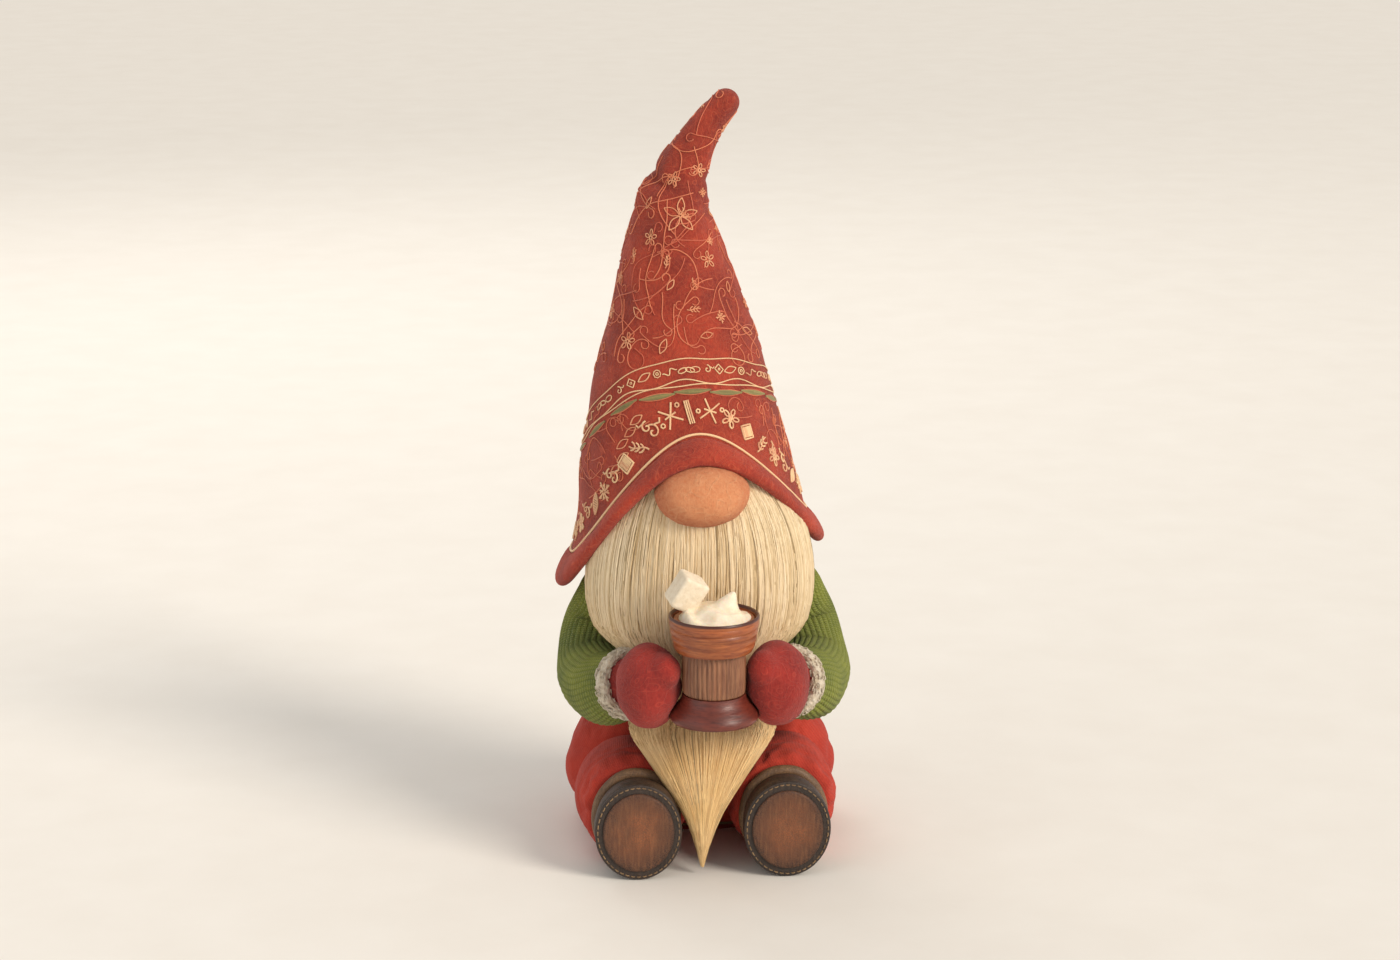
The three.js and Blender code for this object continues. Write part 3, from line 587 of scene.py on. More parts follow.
class TomteColours(bpy.types.PropertyGroup):
    """The colours of the figure's stuffs."""

    hat: colour_of("Hat", "Felt of the hat's cone", "#b23a24")
    brim: colour_of("Brim", "Felt of the hat's rolled brim", "#bd3c24")
    nose: colour_of("Nose", "Needle felt of the nose", "#e39364")
    mittens: colour_of("Mittens", "Boiled wool of the mittens", "#a32a22")
    beard_root: colour_of("Beard roots", "Wool under the nose and the brim", "#f8e3c0")
    beard_tip: colour_of("Beard ends", "Wool at the beard's tip", "#f3cd8d")
    knit: colour_of("Jumper", "Wool of the jumper and its sleeves", "#8c9236")
    trousers: colour_of("Trousers", "Brushed cotton of the trousers", "#c63e2c")
    fleece: colour_of("Cuffs", "Fleece of the cuffs", "#f5ead6")
    cream_thread: colour_of("Bold stitches", "Cotton of the hat's first row and its piping", "#f9d7a4")
    salmon_thread: colour_of("Fine stitches", "Cotton of the hat's vines", "#e2835a")
    boots: colour_of("Boots", "Waxed hide of the boots", "#4c3728")
    soles: colour_of("Soles", "Hide of the soles", "#8c4f2b")
    mug: colour_of("Mug", "Oiled wood of the mug's hoop", "#9a4a22")


class TomteSizes(bpy.types.PropertyGroup):
    """The sizes and counts of the figure's finer work. The larger sizes belong to the frame."""

    felt: span("Hat felt", "Thickness of the hat's felt", 2.6, 1, 4)
    brim_swell: span("Brim", "Half thickness of the brim's stuffed roll", 4.4, 2, 6)
    piping: span("Piping", "Radius of the piping cord", 0.8, 0.4, 1.5)
    bold_thread: span("Bold stitches", "Radius of the thread of the hat's first row", 0.62, 0.2, 1)
    fine_thread: span("Fine stitches", "Radius of the hat's finer thread", 0.4, 0.2, 1)
    nose_width: span("Nose width", "Width of the nose", 56, 40, 56)
    nose_height: span("Nose height", "Height of the nose", 37.6, 25, 38)
    strand: span("Beard strand", "Mean radius of a strand of the beard", 0.6, 0.3, 1.5)
    upper_strands: number("Upper strands", "Strands that hang from under the nose", 900, 50)
    lower_strands: number("Lower strands", "Strands below the mug", 520, 50)
    sleeve_ribs: number("Sleeve ribs", "Ribs round each sleeve", 40, 12, 80)
    rib: span("Rib depth", "How far a sleeve's ribs stand up", 0.75, 0.2, 1.5)
    pile: span("Fleece pile", "How far the curls of a cuff stand out", 0.6, 0.1, 1.5)
    tufts: number("Fleece tufts", "Loose curls on each cuff", 420, 10)
    reeds: number("Mug reeds", "Reeds round the mug's waist", 40, 12, 80)
    boot_stitches: number("Boot stitches", "Stitches round each sole", 44, 12, 90)


# ---------- the hat ----------
RIM_BACK, ARCH, TILT = 167, 80, 12.6
HEM = 19
BEND_HEIGHT = 345
cone = spline([(150, 74), (170, 72), (192, 69), (218, 66.5), (239, 63), (259, 58), (280, 53), (304, 46), (319, 41),
               (345, 33.5), (360, 30)])
TOP_PATH = Path([(x, 0, z) for x, z in [(-15, 345), (-16.5, 365), (-16, 383), (-12.5, 401), (-5.5, 418), (3.5, 433),
                                        (14.5, 446)]])
top_radius = spline([(0, 33.5), (0.17, 28), (0.33, 22.8), (0.49, 18.2), (0.65, 14), (0.8, 11), (0.93, 8.9), (1, 8.2)])
TIP_RADIUS = 8.2
TIP_HEIGHT = BEND_HEIGHT + TOP_PATH.length + TIP_RADIUS * math.pi / 2


def rim(angle):
    """The height of the brim's edge. Angle 0 is the front, and a quarter turn is the figure's left."""
    front = np.maximum(0, np.cos(angle))
    return RIM_BACK + ARCH * front**2 + TILT * np.sin(angle)


def hem(angle):
    """The height of the brim's roll, which is narrower over the nose."""
    return HEM - 8 * smooth(0.3, 1, np.cos(angle))


def creases(angle, height):
    """The felt's folds round the bend, and the slow lumps of its stuffing."""
    left, right = smooth(0.2, -0.8, np.sin(angle)), smooth(-0.2, 0.8, np.sin(angle))
    slant = height + 5 * np.cos(angle)
    fold = -2.6 * np.exp(-(((slant - 401) / 3.6) ** 2)) * left
    fold += 1.5 * np.exp(-(((slant - 391) / 6.5) ** 2)) * left
    fold += -1.3 * np.exp(-(((slant - 386) / 3.2) ** 2)) * right
    fold += -1.1 * np.exp(-(((slant - 409) / 3.0) ** 2)) * right
    fold += -0.9 * np.exp(-(((height + 9 * np.sin(angle) - 362) / 4) ** 2)) * smooth(-0.5, 1, np.cos(angle - 0.7))
    slow = 1.0 * np.sin(2 * angle + height / 33 + 1) + 0.7 * np.sin(3 * angle - height / 21) + 0.35 * np.sin(
        7 * angle + height / 9)
    return fold + slow * smooth(0, 60, height - rim(angle)) * smooth(455, 420, height)


def hat(angle, height, out=0.0):
    """Points of the hat's outer face. Above the bend, height goes on along the curled tip."""
    angle, height = np.broadcast_arrays(np.asarray(angle, float), np.asarray(height, float))
    out = out + creases(angle, height)
    flare = 8.5 + 2.5 * np.cos(angle)
    radius = cone(height) + flare * np.exp(-np.maximum(0, height - rim(angle)) / 13) + out
    low = np.stack([-7 - 0.055 * (height - 200) + radius * np.sin(angle), -radius * np.cos(angle), height], -1)
    run = np.clip(height - BEND_HEIGHT, 0, None)
    point, way = TOP_PATH.at(np.minimum(run, TOP_PATH.length))
    ease = smooth(0, 30, run)[..., None]
    side = np.stack([way[..., 2], 0 * run, -way[..., 0]], -1) * ease + np.array([1, 0, 0]) * (1 - ease)
    side /= np.linalg.norm(side, axis=-1, keepdims=True)
    cap = np.clip((run - TOP_PATH.length) / TIP_RADIUS, 0, math.pi / 2)
    ring = (top_radius(run / TOP_PATH.length) + out * (cap < 0.5)) * np.cos(cap)
    high = point + way * (np.sin(cap) * TIP_RADIUS)[..., None]
    high = high + side * (ring * np.sin(angle))[..., None]
    high[..., 1] -= ring * np.cos(angle)
    return np.where((height > BEND_HEIGHT)[..., None], high, low)


def bend_hat(piece):
    """Bakes the piece's place into its mesh."""
    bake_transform(piece)


class TOMTE_OT_hat(bpy.types.Operator):
    """Makes the felt cone, its stuffed brim, its piping and its back seam."""

    bl_idname = "tomte.hat"
    bl_label = "Hat"

    def execute(self, context):
        def felt(u, v):
            angle = u * TAU - math.pi
            low = rim(angle) + hem(angle) - 4
            return hat(angle, low + (TIP_HEIGHT - low) * v)

        piece = surface("hat_felt_cone", 160, 220, felt)
        modify(piece, "SOLIDIFY", thickness=size("felt") * MM, offset=-1, use_rim=True)
        bpy.ops.object.shade_smooth()
        dress(piece, "hat_felt", None, ["hat_body", "hat_top", "hat_stuffing", "hat_top_stuffing"])
        bend_hat(piece)

        def roll(u, v):
            angle, turn = u * TAU, v * TAU
            edge, top = hat(angle, rim(angle)), hat(angle, rim(angle) + hem(angle))
            down = (edge - top) / np.linalg.norm(edge - top, axis=1, keepdims=True)
            out = np.stack([np.sin(angle), -np.cos(angle), 0 * angle], -1)
            out -= down * (out * down).sum(1, keepdims=True)
            out /= np.linalg.norm(out, axis=1, keepdims=True)
            pucker = 0.22 * np.sin(41 * angle) + 0.18 * np.sin(67 * angle + 1)
            fat = size("brim_swell") + 1.1 * np.cos(turn) + pucker * smooth(0.2, -0.9, np.cos(turn))
            front = smooth(0.6, 1, np.cos(angle))
            wide = hem(angle) / 2 + 1.2 + 2.2 * front
            along = np.sign(np.cos(turn)) * np.abs(np.cos(turn)) ** 0.8 * wide
            middle = (edge + top) / 2 - out * 0.8 + down * (2.4 * front)[:, None]
            wobble = 0.6 * lumps(middle, 38, 3)
            return middle + down * along[:, None] + out * (np.sin(turn) * fat + wobble)[:, None]

        brim = surface("hat_brim_roll", 260, 26, roll)
        dress(brim, "brim_felt", "head", ["hat_brim"])

        turn = np.linspace(-math.pi, math.pi, 240, endpoint=False)
        cord = threads("hat_piping_cord", [hat(turn, rim(turn) + hem(turn) + 1.6, 0.5)], size("piping"), 6, closed=True)
        dress(cord, "cream_thread", "head", ["hat_piping"])

        # The cone is sewn up the back, with a ridge and slanting stitches.
        rise = np.linspace(RIM_BACK + HEM + 3, TIP_HEIGHT - 14, 150)
        ridge = threads("hat_back_seam", [hat(math.pi, rise, -0.2)], 1.1, 6)
        dress(ridge, "hat_felt", None, ())
        bend_hat(ridge)
        lines = [hat(math.pi + np.array([-1, 1]) * 2.6 / cone(h), h + np.array([-1.2, 1.2]), 1.0)
                 for h in np.arange(RIM_BACK + HEM + 5, BEND_HEIGHT - 4, 4.5)]
        over = threads("hat_back_stitches", lines, 0.4)
        dress(over, "hat_felt", "head", ())
        return {"FINISHED"}


# ---------- embroidery ----------
def ring_line(rx, ry, count=12, turn=0.0, cx=0.0, cy=0.0):
    a = np.linspace(0, TAU, count + 1)
    x, y = rx * np.cos(a), ry * np.sin(a)
    return np.stack([cx + x * math.cos(turn) - y * math.sin(turn), cy + x * math.sin(turn) + y * math.cos(turn)], -1)


def spun(line, turn):
    c, s = math.cos(turn), math.sin(turn)
    return line @ np.array([[c, s], [-s, c]])


def star(r):
    arms = []
    for k in range(8):
        reach = r if k % 2 == 0 else 0.72 * r
        arms.append(spun(np.array([[0.12 * r, 0], [reach, 0]]), k * TAU / 8))
        arms.append(spun(np.array([[0.55 * reach, 0], [0.8 * reach, 0.2 * r]]), k * TAU / 8))
    return arms


def leaf(r, turn=0.0, fill=True):
    s = np.linspace(0, 1, 7)
    width = 0.42 * r * np.sin(math.pi * s)
    along = -r + 2 * r * s
    lines = [np.stack([along, width], -1), np.stack([along, -width], -1)]
    if fill:
        for x in np.arange(-0.7, 0.75, 0.22):
            w = 0.38 * r * math.cos(x * math.pi / 2)
            lines.append(np.array([[x * r - 0.12 * r, -w], [x * r + 0.12 * r, w]]))
    return [spun(line, turn) for line in lines]


def patch(r, turn=0.0):
    rows = [np.array([[x, -0.62 * r], [x, 0.62 * r]]) for x in np.linspace(-0.5 * r, 0.5 * r, 8)]
    frame_line = np.array([[-0.72, -0.8], [0.72, -0.8], [0.72, 0.8], [-0.72, 0.8], [-0.72, -0.8]]) * r
    return [spun(line, turn) for line in [*rows, frame_line]]


def bloom(r, petals=5):
    lines = [ring_line(0.2 * r, 0.2 * r, 8)]
    for k in range(petals):
        a = k * TAU / petals + 0.3
        lines.append(ring_line(0.36 * r, 0.2 * r, 9, a, 0.62 * r * math.cos(a), 0.62 * r * math.sin(a)))
    return lines


def scroll(r, turn=0.0):
    a = np.linspace(0.6, 7.6, 18)
    curl = np.stack([a / 7.6 * r * np.cos(a), a / 7.6 * r * np.sin(a)], -1)
    tail = np.array([[0.9 * r, 0.3 * r], [1.5 * r, -0.2 * r], [2.0 * r, 0.1 * r]])
    return [spun(curl, turn), spun(tail, turn)]


def sprig(r, turn=0.0):
    s = np.linspace(-1, 1, 8)
    lines = [np.stack([s * r, 0.15 * r * np.sin(2.6 * s)], -1)]
    for x in (-0.55, -0.1, 0.35):
        for sign in (-1, 1):
            lines.append(np.array([[x * r, 0], [(x + 0.2) * r, sign * 0.28 * r], [(x + 0.42) * r, sign * 0.36 * r]]))
    return [spun(line, turn) for line in lines]


def wriggle(r, turn=0.0):
    s = np.linspace(-1, 1, 12)
    return [spun(np.stack([s * r, 0.3 * r * np.sin(5 * s)], -1), turn)]


BAND = spline([(-180, 255), (-135, 241), (-90, 242), (-60, 264), (-32, 281), (0, 287), (35, 285), (61, 279), (90, 270),
               (135, 262), (180, 255)])


def around(angle):
    """An angle in degrees from -180 to 180, for reading the band."""
    return (np.degrees(angle) + 180) % 360 - 180


def girth(height):
    return cone(height) if height < BEND_HEIGHT else float(top_radius((height - BEND_HEIGHT) / TOP_PATH.length))


def slope_of(line, angle, height, step):
    """How steeply a line that runs round the hat climbs, as an angle on the felt."""
    return math.atan2(float(line(angle + step) - line(angle - step)) / (2 * step), girth(height))


def sewn(motif, angle, height, slope=0.0, out=0.35):
    """A flat motif's lines, in millimetres, laid on the felt round one place."""
    wide = girth(height)
    laid = []
    for line in motif:
        line = spun(line, slope)
        steps = [np.linspace(a, b, max(2, int(np.linalg.norm(b - a) / 1.6) + 1))[:-1] for a, b in zip(line, line[1:])]
        fine = np.concatenate([*steps, line[-1:]])
        laid.append(hat(angle + fine[:, 0] / wide, height + fine[:, 1], out))
    return laid


def crossed(r):
    """Two long crossed stitches, a bar between them, and dots at the sides."""
    lines = [spun(np.array([[-r, 0], [r, 0]]), turn) for turn in (0.9, math.pi - 0.9)]
    lines += [np.array([[-0.5 * r, 0.0], [0.5 * r, 0.0]]), ring_line(0.16 * r, 0.16 * r, 6, 0, 0.9 * r, 0.35 * r)]
    return lines + [ring_line(0.16 * r, 0.16 * r, 6, 0, -0.9 * r, -0.3 * r)]


def bar(r):
    return [np.array([[x * r, -r], [x * r, r]]) for x in (-0.18, 0, 0.18)]


def curls(r):
    """Two curls that turn away from each other."""
    return [*scroll(r * 0.7, 0.3), *[line * [-1, 1] + [-0.2 * r, 0.7 * r] for line in scroll(r * 0.55, 0.8)]]


def vine(draw, angle, height, steps, low, high=None):
    """A line that wanders over the felt and ends in a curl."""
    way, bend, line = draw.uniform(0, TAU), 0.0, []
    curl = draw.choice([-1, 1]) * 0.62
    high = high or (lambda a: TIP_HEIGHT - 13)
    for step in range(steps):
        line.append((angle, height))
        bend = 0.9 * bend + draw.normal(0, 0.035)
        ahead = height + 5 * math.sin(way)
        if not low(angle) < ahead < high(angle):
            bend = math.copysign(0.3, bend)
        way += curl if step > steps - 9 else bend
        angle += 1.5 * math.cos(way) / girth(height)
        height += 1.5 * math.sin(way)
    angles, heights = np.array(line).T
    return hat(angles, heights, 0.22)


class TOMTE_OT_embroidery(bpy.types.Operator):
    """Sews the hat's rows of motifs, its vines and its olive leaves."""

    bl_idname = "tomte.embroidery"
    bl_label = "Embroidery"

    def execute(self, context):
        draw = np.random.default_rng(SEED)
        bold, fine, vines, blossoms = [], [], [], []
        # The first row stands on the piping: one motif of each kind after the other.
        row = [bar(6.6), crossed(7.4), bloom(5.8) + bar(2.5), patch(4.8, 0.8), sprig(6.4, 1.2),
               bloom(5.6) + scroll(4.4, 2), curls(6.0), leaf(6.4, 1.0), star(6.6), curls(6.0), patch(5.4, 0.2),
               sprig(6.8, 2.2), curls(6.4), crossed(7.6)]
        above_hem = lambda a: float(rim(a) + hem(a)) + 12.5
        for way in (1, -1):
            angle, turn = 0.0 if way > 0 else -0.195, 0
            while abs(angle) < math.pi - 0.08:
                height = above_hem(angle)
                slope = slope_of(above_hem, angle, height, 0.01)
                lift = min(abs(math.sin(slope)) * 8, 5)
                bold += sewn(row[(turn if way > 0 else -1 - turn) % len(row)], angle, height + lift, slope)
                angle += way * 12.6 * math.cos(slope) / girth(height)
                turn += 1
        # Two thin lines bound the second row, which is made of small ovals, scrolls and leaves.
        turn = np.linspace(-math.pi, math.pi, 220)
        level = lambda a: BAND(around(a))
        for lift, wave in ((0, 0.4), (1.9, 1.6), (14.5, 0.6)):
            fine.append(hat(turn, level(turn) + lift + wave * np.sin(turn * 9 + lift), 0.3))
        small = [[ring_line(3.0, 1.6, 9)], scroll(2.4, 0.2), [patch(2.6, 0.78)[-1], ring_line(0.6, 0.6, 6)],
                 leaf(4.4, 0.3, False), [ring_line(2.2, 2.2, 8), ring_line(0.8, 0.8, 6)], wriggle(4.4, 0.5),
                 [ring_line(2.8, 1.3, 9, 0.3), ring_line(2.8, 1.3, 9, -0.3, 4.4)]]
        for k, angle in enumerate(np.arange(-math.pi, math.pi - 0.1, 0.155)):
            height = float(level(angle)) + 8.4
            fine += sewn(small[k % len(small)], angle, height, slope_of(level, angle, height, 0.02))
        # Above it the needle wandered: vines, with a few blossoms and leaves, smaller towards the tip.
        over = lambda a: float(level(a)) + 20
        under = lambda a: float(level(a)) - 9
        for height in np.arange(300, TIP_HEIGHT - 18, 6.5):
            count = max(2, int(TAU * girth(height) / 24))
            for k in range(count):
                angle = -math.pi + (k + draw.uniform(0, 1)) * TAU / count
                if height > over(angle):
                    vines.append(vine(draw, angle, height, int(draw.integers(16, 40)), over))
        height = 312.0
        while height < TIP_HEIGHT - 16:
            count = max(2, int(TAU * girth(height) / 27))
            for k in range(count):
                angle = -math.pi + (k + draw.uniform(0.2, 0.8)) * TAU / count
                r, lean = draw.uniform(3.2, 5.2) * min(1, girth(height) / 26 + 0.25), draw.uniform(0, TAU)
                if height > over(angle) + 4:
                    motif = [bloom(r), leaf(r, lean, False), star(r * 0.9), sprig(r, lean)][draw.integers(0, 4)]
                    blossoms += sewn(motif, angle, height + draw.uniform(-3.5, 3.5), 0, 0.3)
            height += 14.5
        # One long-petalled star sits on the front, below the bend's fold.
        petals = [spun(line + [5.5, 0], 0.35 + k * TAU / 5) for k in range(5) for line in leaf(5.0, 0, False)]
        blossoms += sewn(petals, 0.1, 383, 0, 0.3)
        # Below the second row, on the sides and the back, more of the same fills the wide cone.
        lowest = lambda a: above_hem(a) + 10
        for height in np.arange(206, 275, 7.5):
            for k in range(17):
                angle = -math.pi + (k + draw.uniform(0, 1)) * TAU / 17
                if lowest(angle) < height < under(angle):
                    vines.append(vine(draw, angle, height, int(draw.integers(14, 34)), lowest, under))
                    if k % 3 == 0:
                        motif = [bloom(4.6), star(4.2), leaf(5, 0.7, False)][k // 3 % 3]
                        blossoms += sewn(motif, angle + 0.1, height, 0, 0.3)
        stitches = threads("hat_embroidery_bold", bold, size("bold_thread"))
        dress(stitches, "cream_thread", "head", ())
        for kind, lines, share, cotton in (("fine", fine, 1, "cream"), ("blossoms", blossoms, 0.95, "peach"),
                                           ("vines", vines, 0.9, "salmon")):
            stitches = threads(f"hat_embroidery_{kind}", lines, size("fine_thread") * share)
            dress(stitches, f"{cotton}_thread", None, ())
            bend_hat(stitches)
        # Long olive leaves lie end to end under the second row's lower line, each with a salmon edge.
        leaves, edges = [], []
        for k, angle in enumerate(np.arange(-math.pi, math.pi - 0.1, 0.4)):
            height = float(level(angle)) - 3.6 - (k % 2) * 1.2
            slope = slope_of(level, angle, height, 0.02)
            s = np.linspace(-1, 1, 15)
            blade = [np.stack([s * 11, across * 1.75 * (1 - s * s)], -1) for across in np.linspace(-1, 1, 6)]
            leaves += sewn(blade[1:-1], angle, height, slope)
            edges += sewn([blade[0], blade[-1]], angle, height, slope)
        strip = threads("hat_olive_leaves", leaves, 0.5)
        dress(strip, "olive_thread", "head", ["hat_ribbon"])
        rims = threads("hat_olive_leaf_edges", edges, 0.32)
        dress(rims, "salmon_thread", "head", ())
        return {"FINISHED"}


# ---------- nose and head ----------
NOSE = np.array([-4, -66, 225.0])


class TOMTE_OT_nose(bpy.types.Operator):
    """Makes the needle-felt nose and the head ball under the hat."""

    bl_idname = "tomte.nose"
    bl_label = "Nose and head"

    def execute(self, context):
        wide, high = size("nose_width") / 2, size("nose_height") / 2

        def ball(u, v):
            angle, rise = u * TAU, (v - 0.5) * math.pi
            x, y, z = np.cos(rise) * np.cos(angle), np.cos(rise) * np.sin(angle), np.sin(rise)
            full = 1 + 0.02 * z * x
            points = NOSE + np.stack([x * wide * full, y * 22.5, z * high - 0.5 * (1 - x * x)], -1)
            way = np.stack([x, y, z], -1)
            return points + way * (0.35 * lumps(points, 13, 5) + 0.12 * lumps(points, 4, 6))[:, None]

        nose = surface("nose_ball", 120, 80, ball)
        dress(nose, "nose_felt", "head", ["nose"])

        def head(u, v):
            angle, rise = u * TAU, (v - 0.5) * math.pi
            z = np.sin(rise) * 50 * np.where(v < 0.5, 1.17, 1)
            points = np.stack([50 * np.cos(rise) * np.cos(angle), 50 * np.cos(rise) * np.sin(angle) - 2, z + 212], -1)
            points[:, 2] = np.maximum(points[:, 2], 157.5)
            return points

        skull = surface("head_ball_felt", 72, 48, head)
        dress(skull, "head_felt", "head", ["head_ball"])
        return {"FINISHED"}


# ---------- beard ----------
# Height, half width, front, where the edge lies, and thickness.
BEARD = spline([(h, row) for h, *row in [
    (4, 0.7, -97, -96, 1.5), (12, 2.4, -99, -96, 3), (22, 5.2, -100, -95, 6), (35, 10, -99, -93, 9),
    (52, 21, -96, -87, 12), (68, 33, -90, -78, 14), (80, 42, -84, -70, 15), (88, 43, -79, -65, 14),
    (96, 33, -75, -61, 12), (108, 28, -73, -59, 12), (118, 33, -73, -55, 13), (127, 50, -74, -47, 14),
    (136, 61, -75, -41, 15), (150, 66.5, -76, -36, 15), (170, 67.5, -77, -34, 15), (190, 64.5, -76, -33, 14),
    (205, 60, -74, -34, 13), (220, 52, -70, -37, 11), (232, 42, -65, -41, 9), (243, 31, -59, -42, 8),
    (251, 24, -54, -40, 6)]])
sway = spline([(4, -6), (50, -5), (90, -3.5), (140, -3.5), (215, -3.5), (235, -5), (251, -8)])


def beard(turn, height, out=0.0):
    """Points of the beard's face. Turn runs from -1 at its right edge to 1 at its left."""
    wide, front, edge, _ = np.moveaxis(BEARD(height), -1, 0)
    a = turn * math.pi / 2
    x, y = (wide + out) * np.sin(a), edge + (front - out - edge) * np.cos(a)
    return np.stack([sway(height) + x, y, height + 0 * x], -1)


def turn_beard(piece):
    """Bakes the piece's place into its mesh."""
    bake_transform(piece)


class TOMTE_OT_beard(bpy.types.Operator):
    """Hangs the combed wool beard, lock by lock, from under the nose to its tip."""

    bl_idname = "tomte.beard"
    bl_label = "Beard"

    def execute(self, context):
        def core(u, v):
            height = 5 + 246 * v
            wide, front, edge, thick = np.moveaxis(BEARD(height), -1, 0)
            around_turn = u * TAU
            a = np.where(u < 0.5, around_turn - math.pi / 2, 1.5 * math.pi - around_turn)
            deep = np.where(u < 0.5, front, np.minimum(front + thick, edge + 1))
            close = np.minimum(1, np.minimum((v + 0.004) * 30, (1.004 - v) * 30))
            x = wide * 0.985 * np.sin(a)
            grooves = 0.5 * np.sin(a * 46) * (u < 0.5)
            y = edge + (deep + 0.9 - grooves - edge) * np.cos(a)
            middle = edge + (front + thick / 2 - edge) * 0.6
            return np.stack([sway(height) + x * close, middle + (y - middle) * close, height], -1)

        body = surface("beard_lock_core", 240, 90, core)
        count = len(body.data.vertices)
        body.data.attributes.new("tone", "FLOAT", "POINT").data.foreach_set("value", np.full(count, 0.3, np.float32))
        dress(body, "beard", None, ["beard_upper", "beard_lower"])
        turn_beard(body)

        draw = np.random.default_rng(SEED + 3)
        lines, widths = [], []

        def strand(turn, top, end, thick, points=12):
            s = np.linspace(0, 1, points)
            height = top + (end - top) * s
            phase, wave = draw.uniform(0, TAU), draw.uniform(0.004, 0.014)
            drift = draw.normal(0, 0.012)
            path = turn + drift * s + wave * np.sin(phase + s * draw.uniform(2, 7))
            lift = draw.uniform(-0.3, 0.9)
            taper = np.minimum(1, np.minimum(0.35 + s * 5, 0.3 + (1 - s) * 4))
            lines.append(beard(np.clip(path, -1, 1), height, lift * np.sin(math.pi * np.clip(s * 1.1, 0, 1))))
            widths.append(thick * taper)

        count, mean = size("upper_strands"), size("strand")
        for k in range(count):
            turn = -1 + 2 * (k + draw.uniform(0, 1)) / count
            strand(turn, draw.uniform(238, 251), draw.uniform(112, 124) + 6 * abs(turn), mean * draw.uniform(0.75, 1.3))
        count = size("lower_strands")
        for k in range(count):
            turn = -1 + 2 * (k + draw.uniform(0, 1)) / count
            end = 5 + 26 * abs(turn) * draw.uniform(0, 1) + (draw.uniform(0, 22) if k % 4 == 0 else 0)
            strand(turn, draw.uniform(112, 126), end, mean * draw.uniform(0.7, 1.2))
        locks = threads("beard_strands", lines, widths)
        dress(locks, "beard", None, ())
        turn_beard(locks)
        return {"FINISHED"}


# ---------- arms ----------
ARM_POINTS = [(54, -2, 146), (61.5, -3, 126), (65, -20, 106), (60, -47, 102), (49, -68, 110)]
SHOULDER_RADIUS, WRIST_RADIUS = 21, 17.5
sleeve_radius = spline([(0, 21), (0.3, 22.8), (0.62, 23.2), (0.85, 21.3), (1, WRIST_RADIUS)])
MUG = np.array([0, -108])


def laid_along(path, run, angle, radius):
    """Points round a line. The angle starts at the line's own level side."""
    point, way = path.at(run)
    side = np.cross(np.array([1.0, 0, 0]), way)
    side /= np.linalg.norm(side, axis=-1, keepdims=True)
    other = np.cross(way, side)
    return point + side * (radius * np.cos(angle))[..., None] + other * (radius * np.sin(angle))[..., None]


class TOMTE_OT_arms(bpy.types.Operator):
    """Makes the ribbed sleeves, fleece cuffs and mittens."""

    bl_idname = "tomte.arms"
    bl_label = "Arms"

    def execute(self, context):
        ribs, rib = size("sleeve_ribs"), size("rib")
        for name, sign in sides():
            path = Path([(sign * x, y, z) for x, y, z in ARM_POINTS])
            start, end = -SHOULDER_RADIUS, path.length

            def sleeve(u, v):
                angle = u * TAU
                run = start + (end - start) * v
                cap = np.sqrt(np.clip(1 - (np.clip(run, start, 0) / SHOULDER_RADIUS) ** 2, 0, 1))
                tuck = smooth(1.0, 0.985, v)
                radius = sleeve_radius(run / end) * cap
                inner = smooth(-0.2, 1, np.cos(angle))
                for at, depth, width in ((0.46, 2.2, 3.4), (0.57, 1.7, 3.0), (0.36, 1.3, 3.2), (0.9, 1.0, 2.6)):
                    radius -= depth * inner * np.exp(-(((run - at * end) / width) ** 2)) * (cap > 0.9)
                relief = rib * (np.abs(np.sin(angle * ribs / 2)) - 0.5)
                ribbed = radius + relief * np.minimum(1, cap * 2)
                soft = 0.9 * lumps(laid_along(path, run, angle, ribbed * tuck), 34, 8)
                return laid_along(path, run, angle, (ribbed + soft * cap) * tuck)

            arm = surface(f"{name}_sleeve_knit", ribs * 8, 130, sleeve)
            dress(arm, "knit", f"{name}_arm", [f"{name}_sleeve"])

            def cuff(u, v):
                angle, turn = u * TAU, v * TAU
                run = path.length + 3.4 + 4.6 * np.sin(turn)
                radius = WRIST_RADIUS + 0.6 + 3.4 * np.cos(turn)
                points = laid_along(path, run, angle, radius)
                curl = size("pile") * (lumps(points, 4.5, 9) + 0.5 * lumps(points, 2.2, 10))
                return laid_along(path, run, angle, radius + curl)

            band = surface(f"{name}_cuff_fleece", 150, 34, cuff)
            dress(band, "fleece", f"{name}_arm", [f"{name}_cuff"])
            draw = np.random.default_rng(SEED + 20 + sign)
            loops = []
            for _ in range(size("tufts")):
                angle, turn = draw.uniform(0, TAU), draw.uniform(0, TAU)
                s = np.linspace(0, 1, 6)
                curl = draw.uniform(0.5, 1.0)
                run = path.length + 3.4 + (4.6 + 0.9 * s) * np.sin(turn + 0.2 * np.sin(6 * s))
                radius = WRIST_RADIUS + 0.6 + (3.2 + 1.3 * curl * np.sin(math.pi * s)) * np.cos(turn)
                loops.append(laid_along(path, run, angle + 0.16 * curl * s + 0.04 * np.cos(6 * s), radius))
            fluff = threads(f"{name}_cuff_curls", loops, 0.42)
            dress(fluff, "fleece", f"{name}_arm", ())
            make_mitten(name, sign, path)
        return {"FINISHED"}


def mug_radius(height):
    """The mug's outer radius, with a little room for the wool that presses on it."""
    return np.interp(height, [98, 100, 103, 107, 112, 116, 142, 143.5, 152, 164],
                     [0, 25, 26.6, 26, 21.4, 19, 19, 23, 26.2, 27])


MITTEN = np.array([37.5, -98, 118.5])


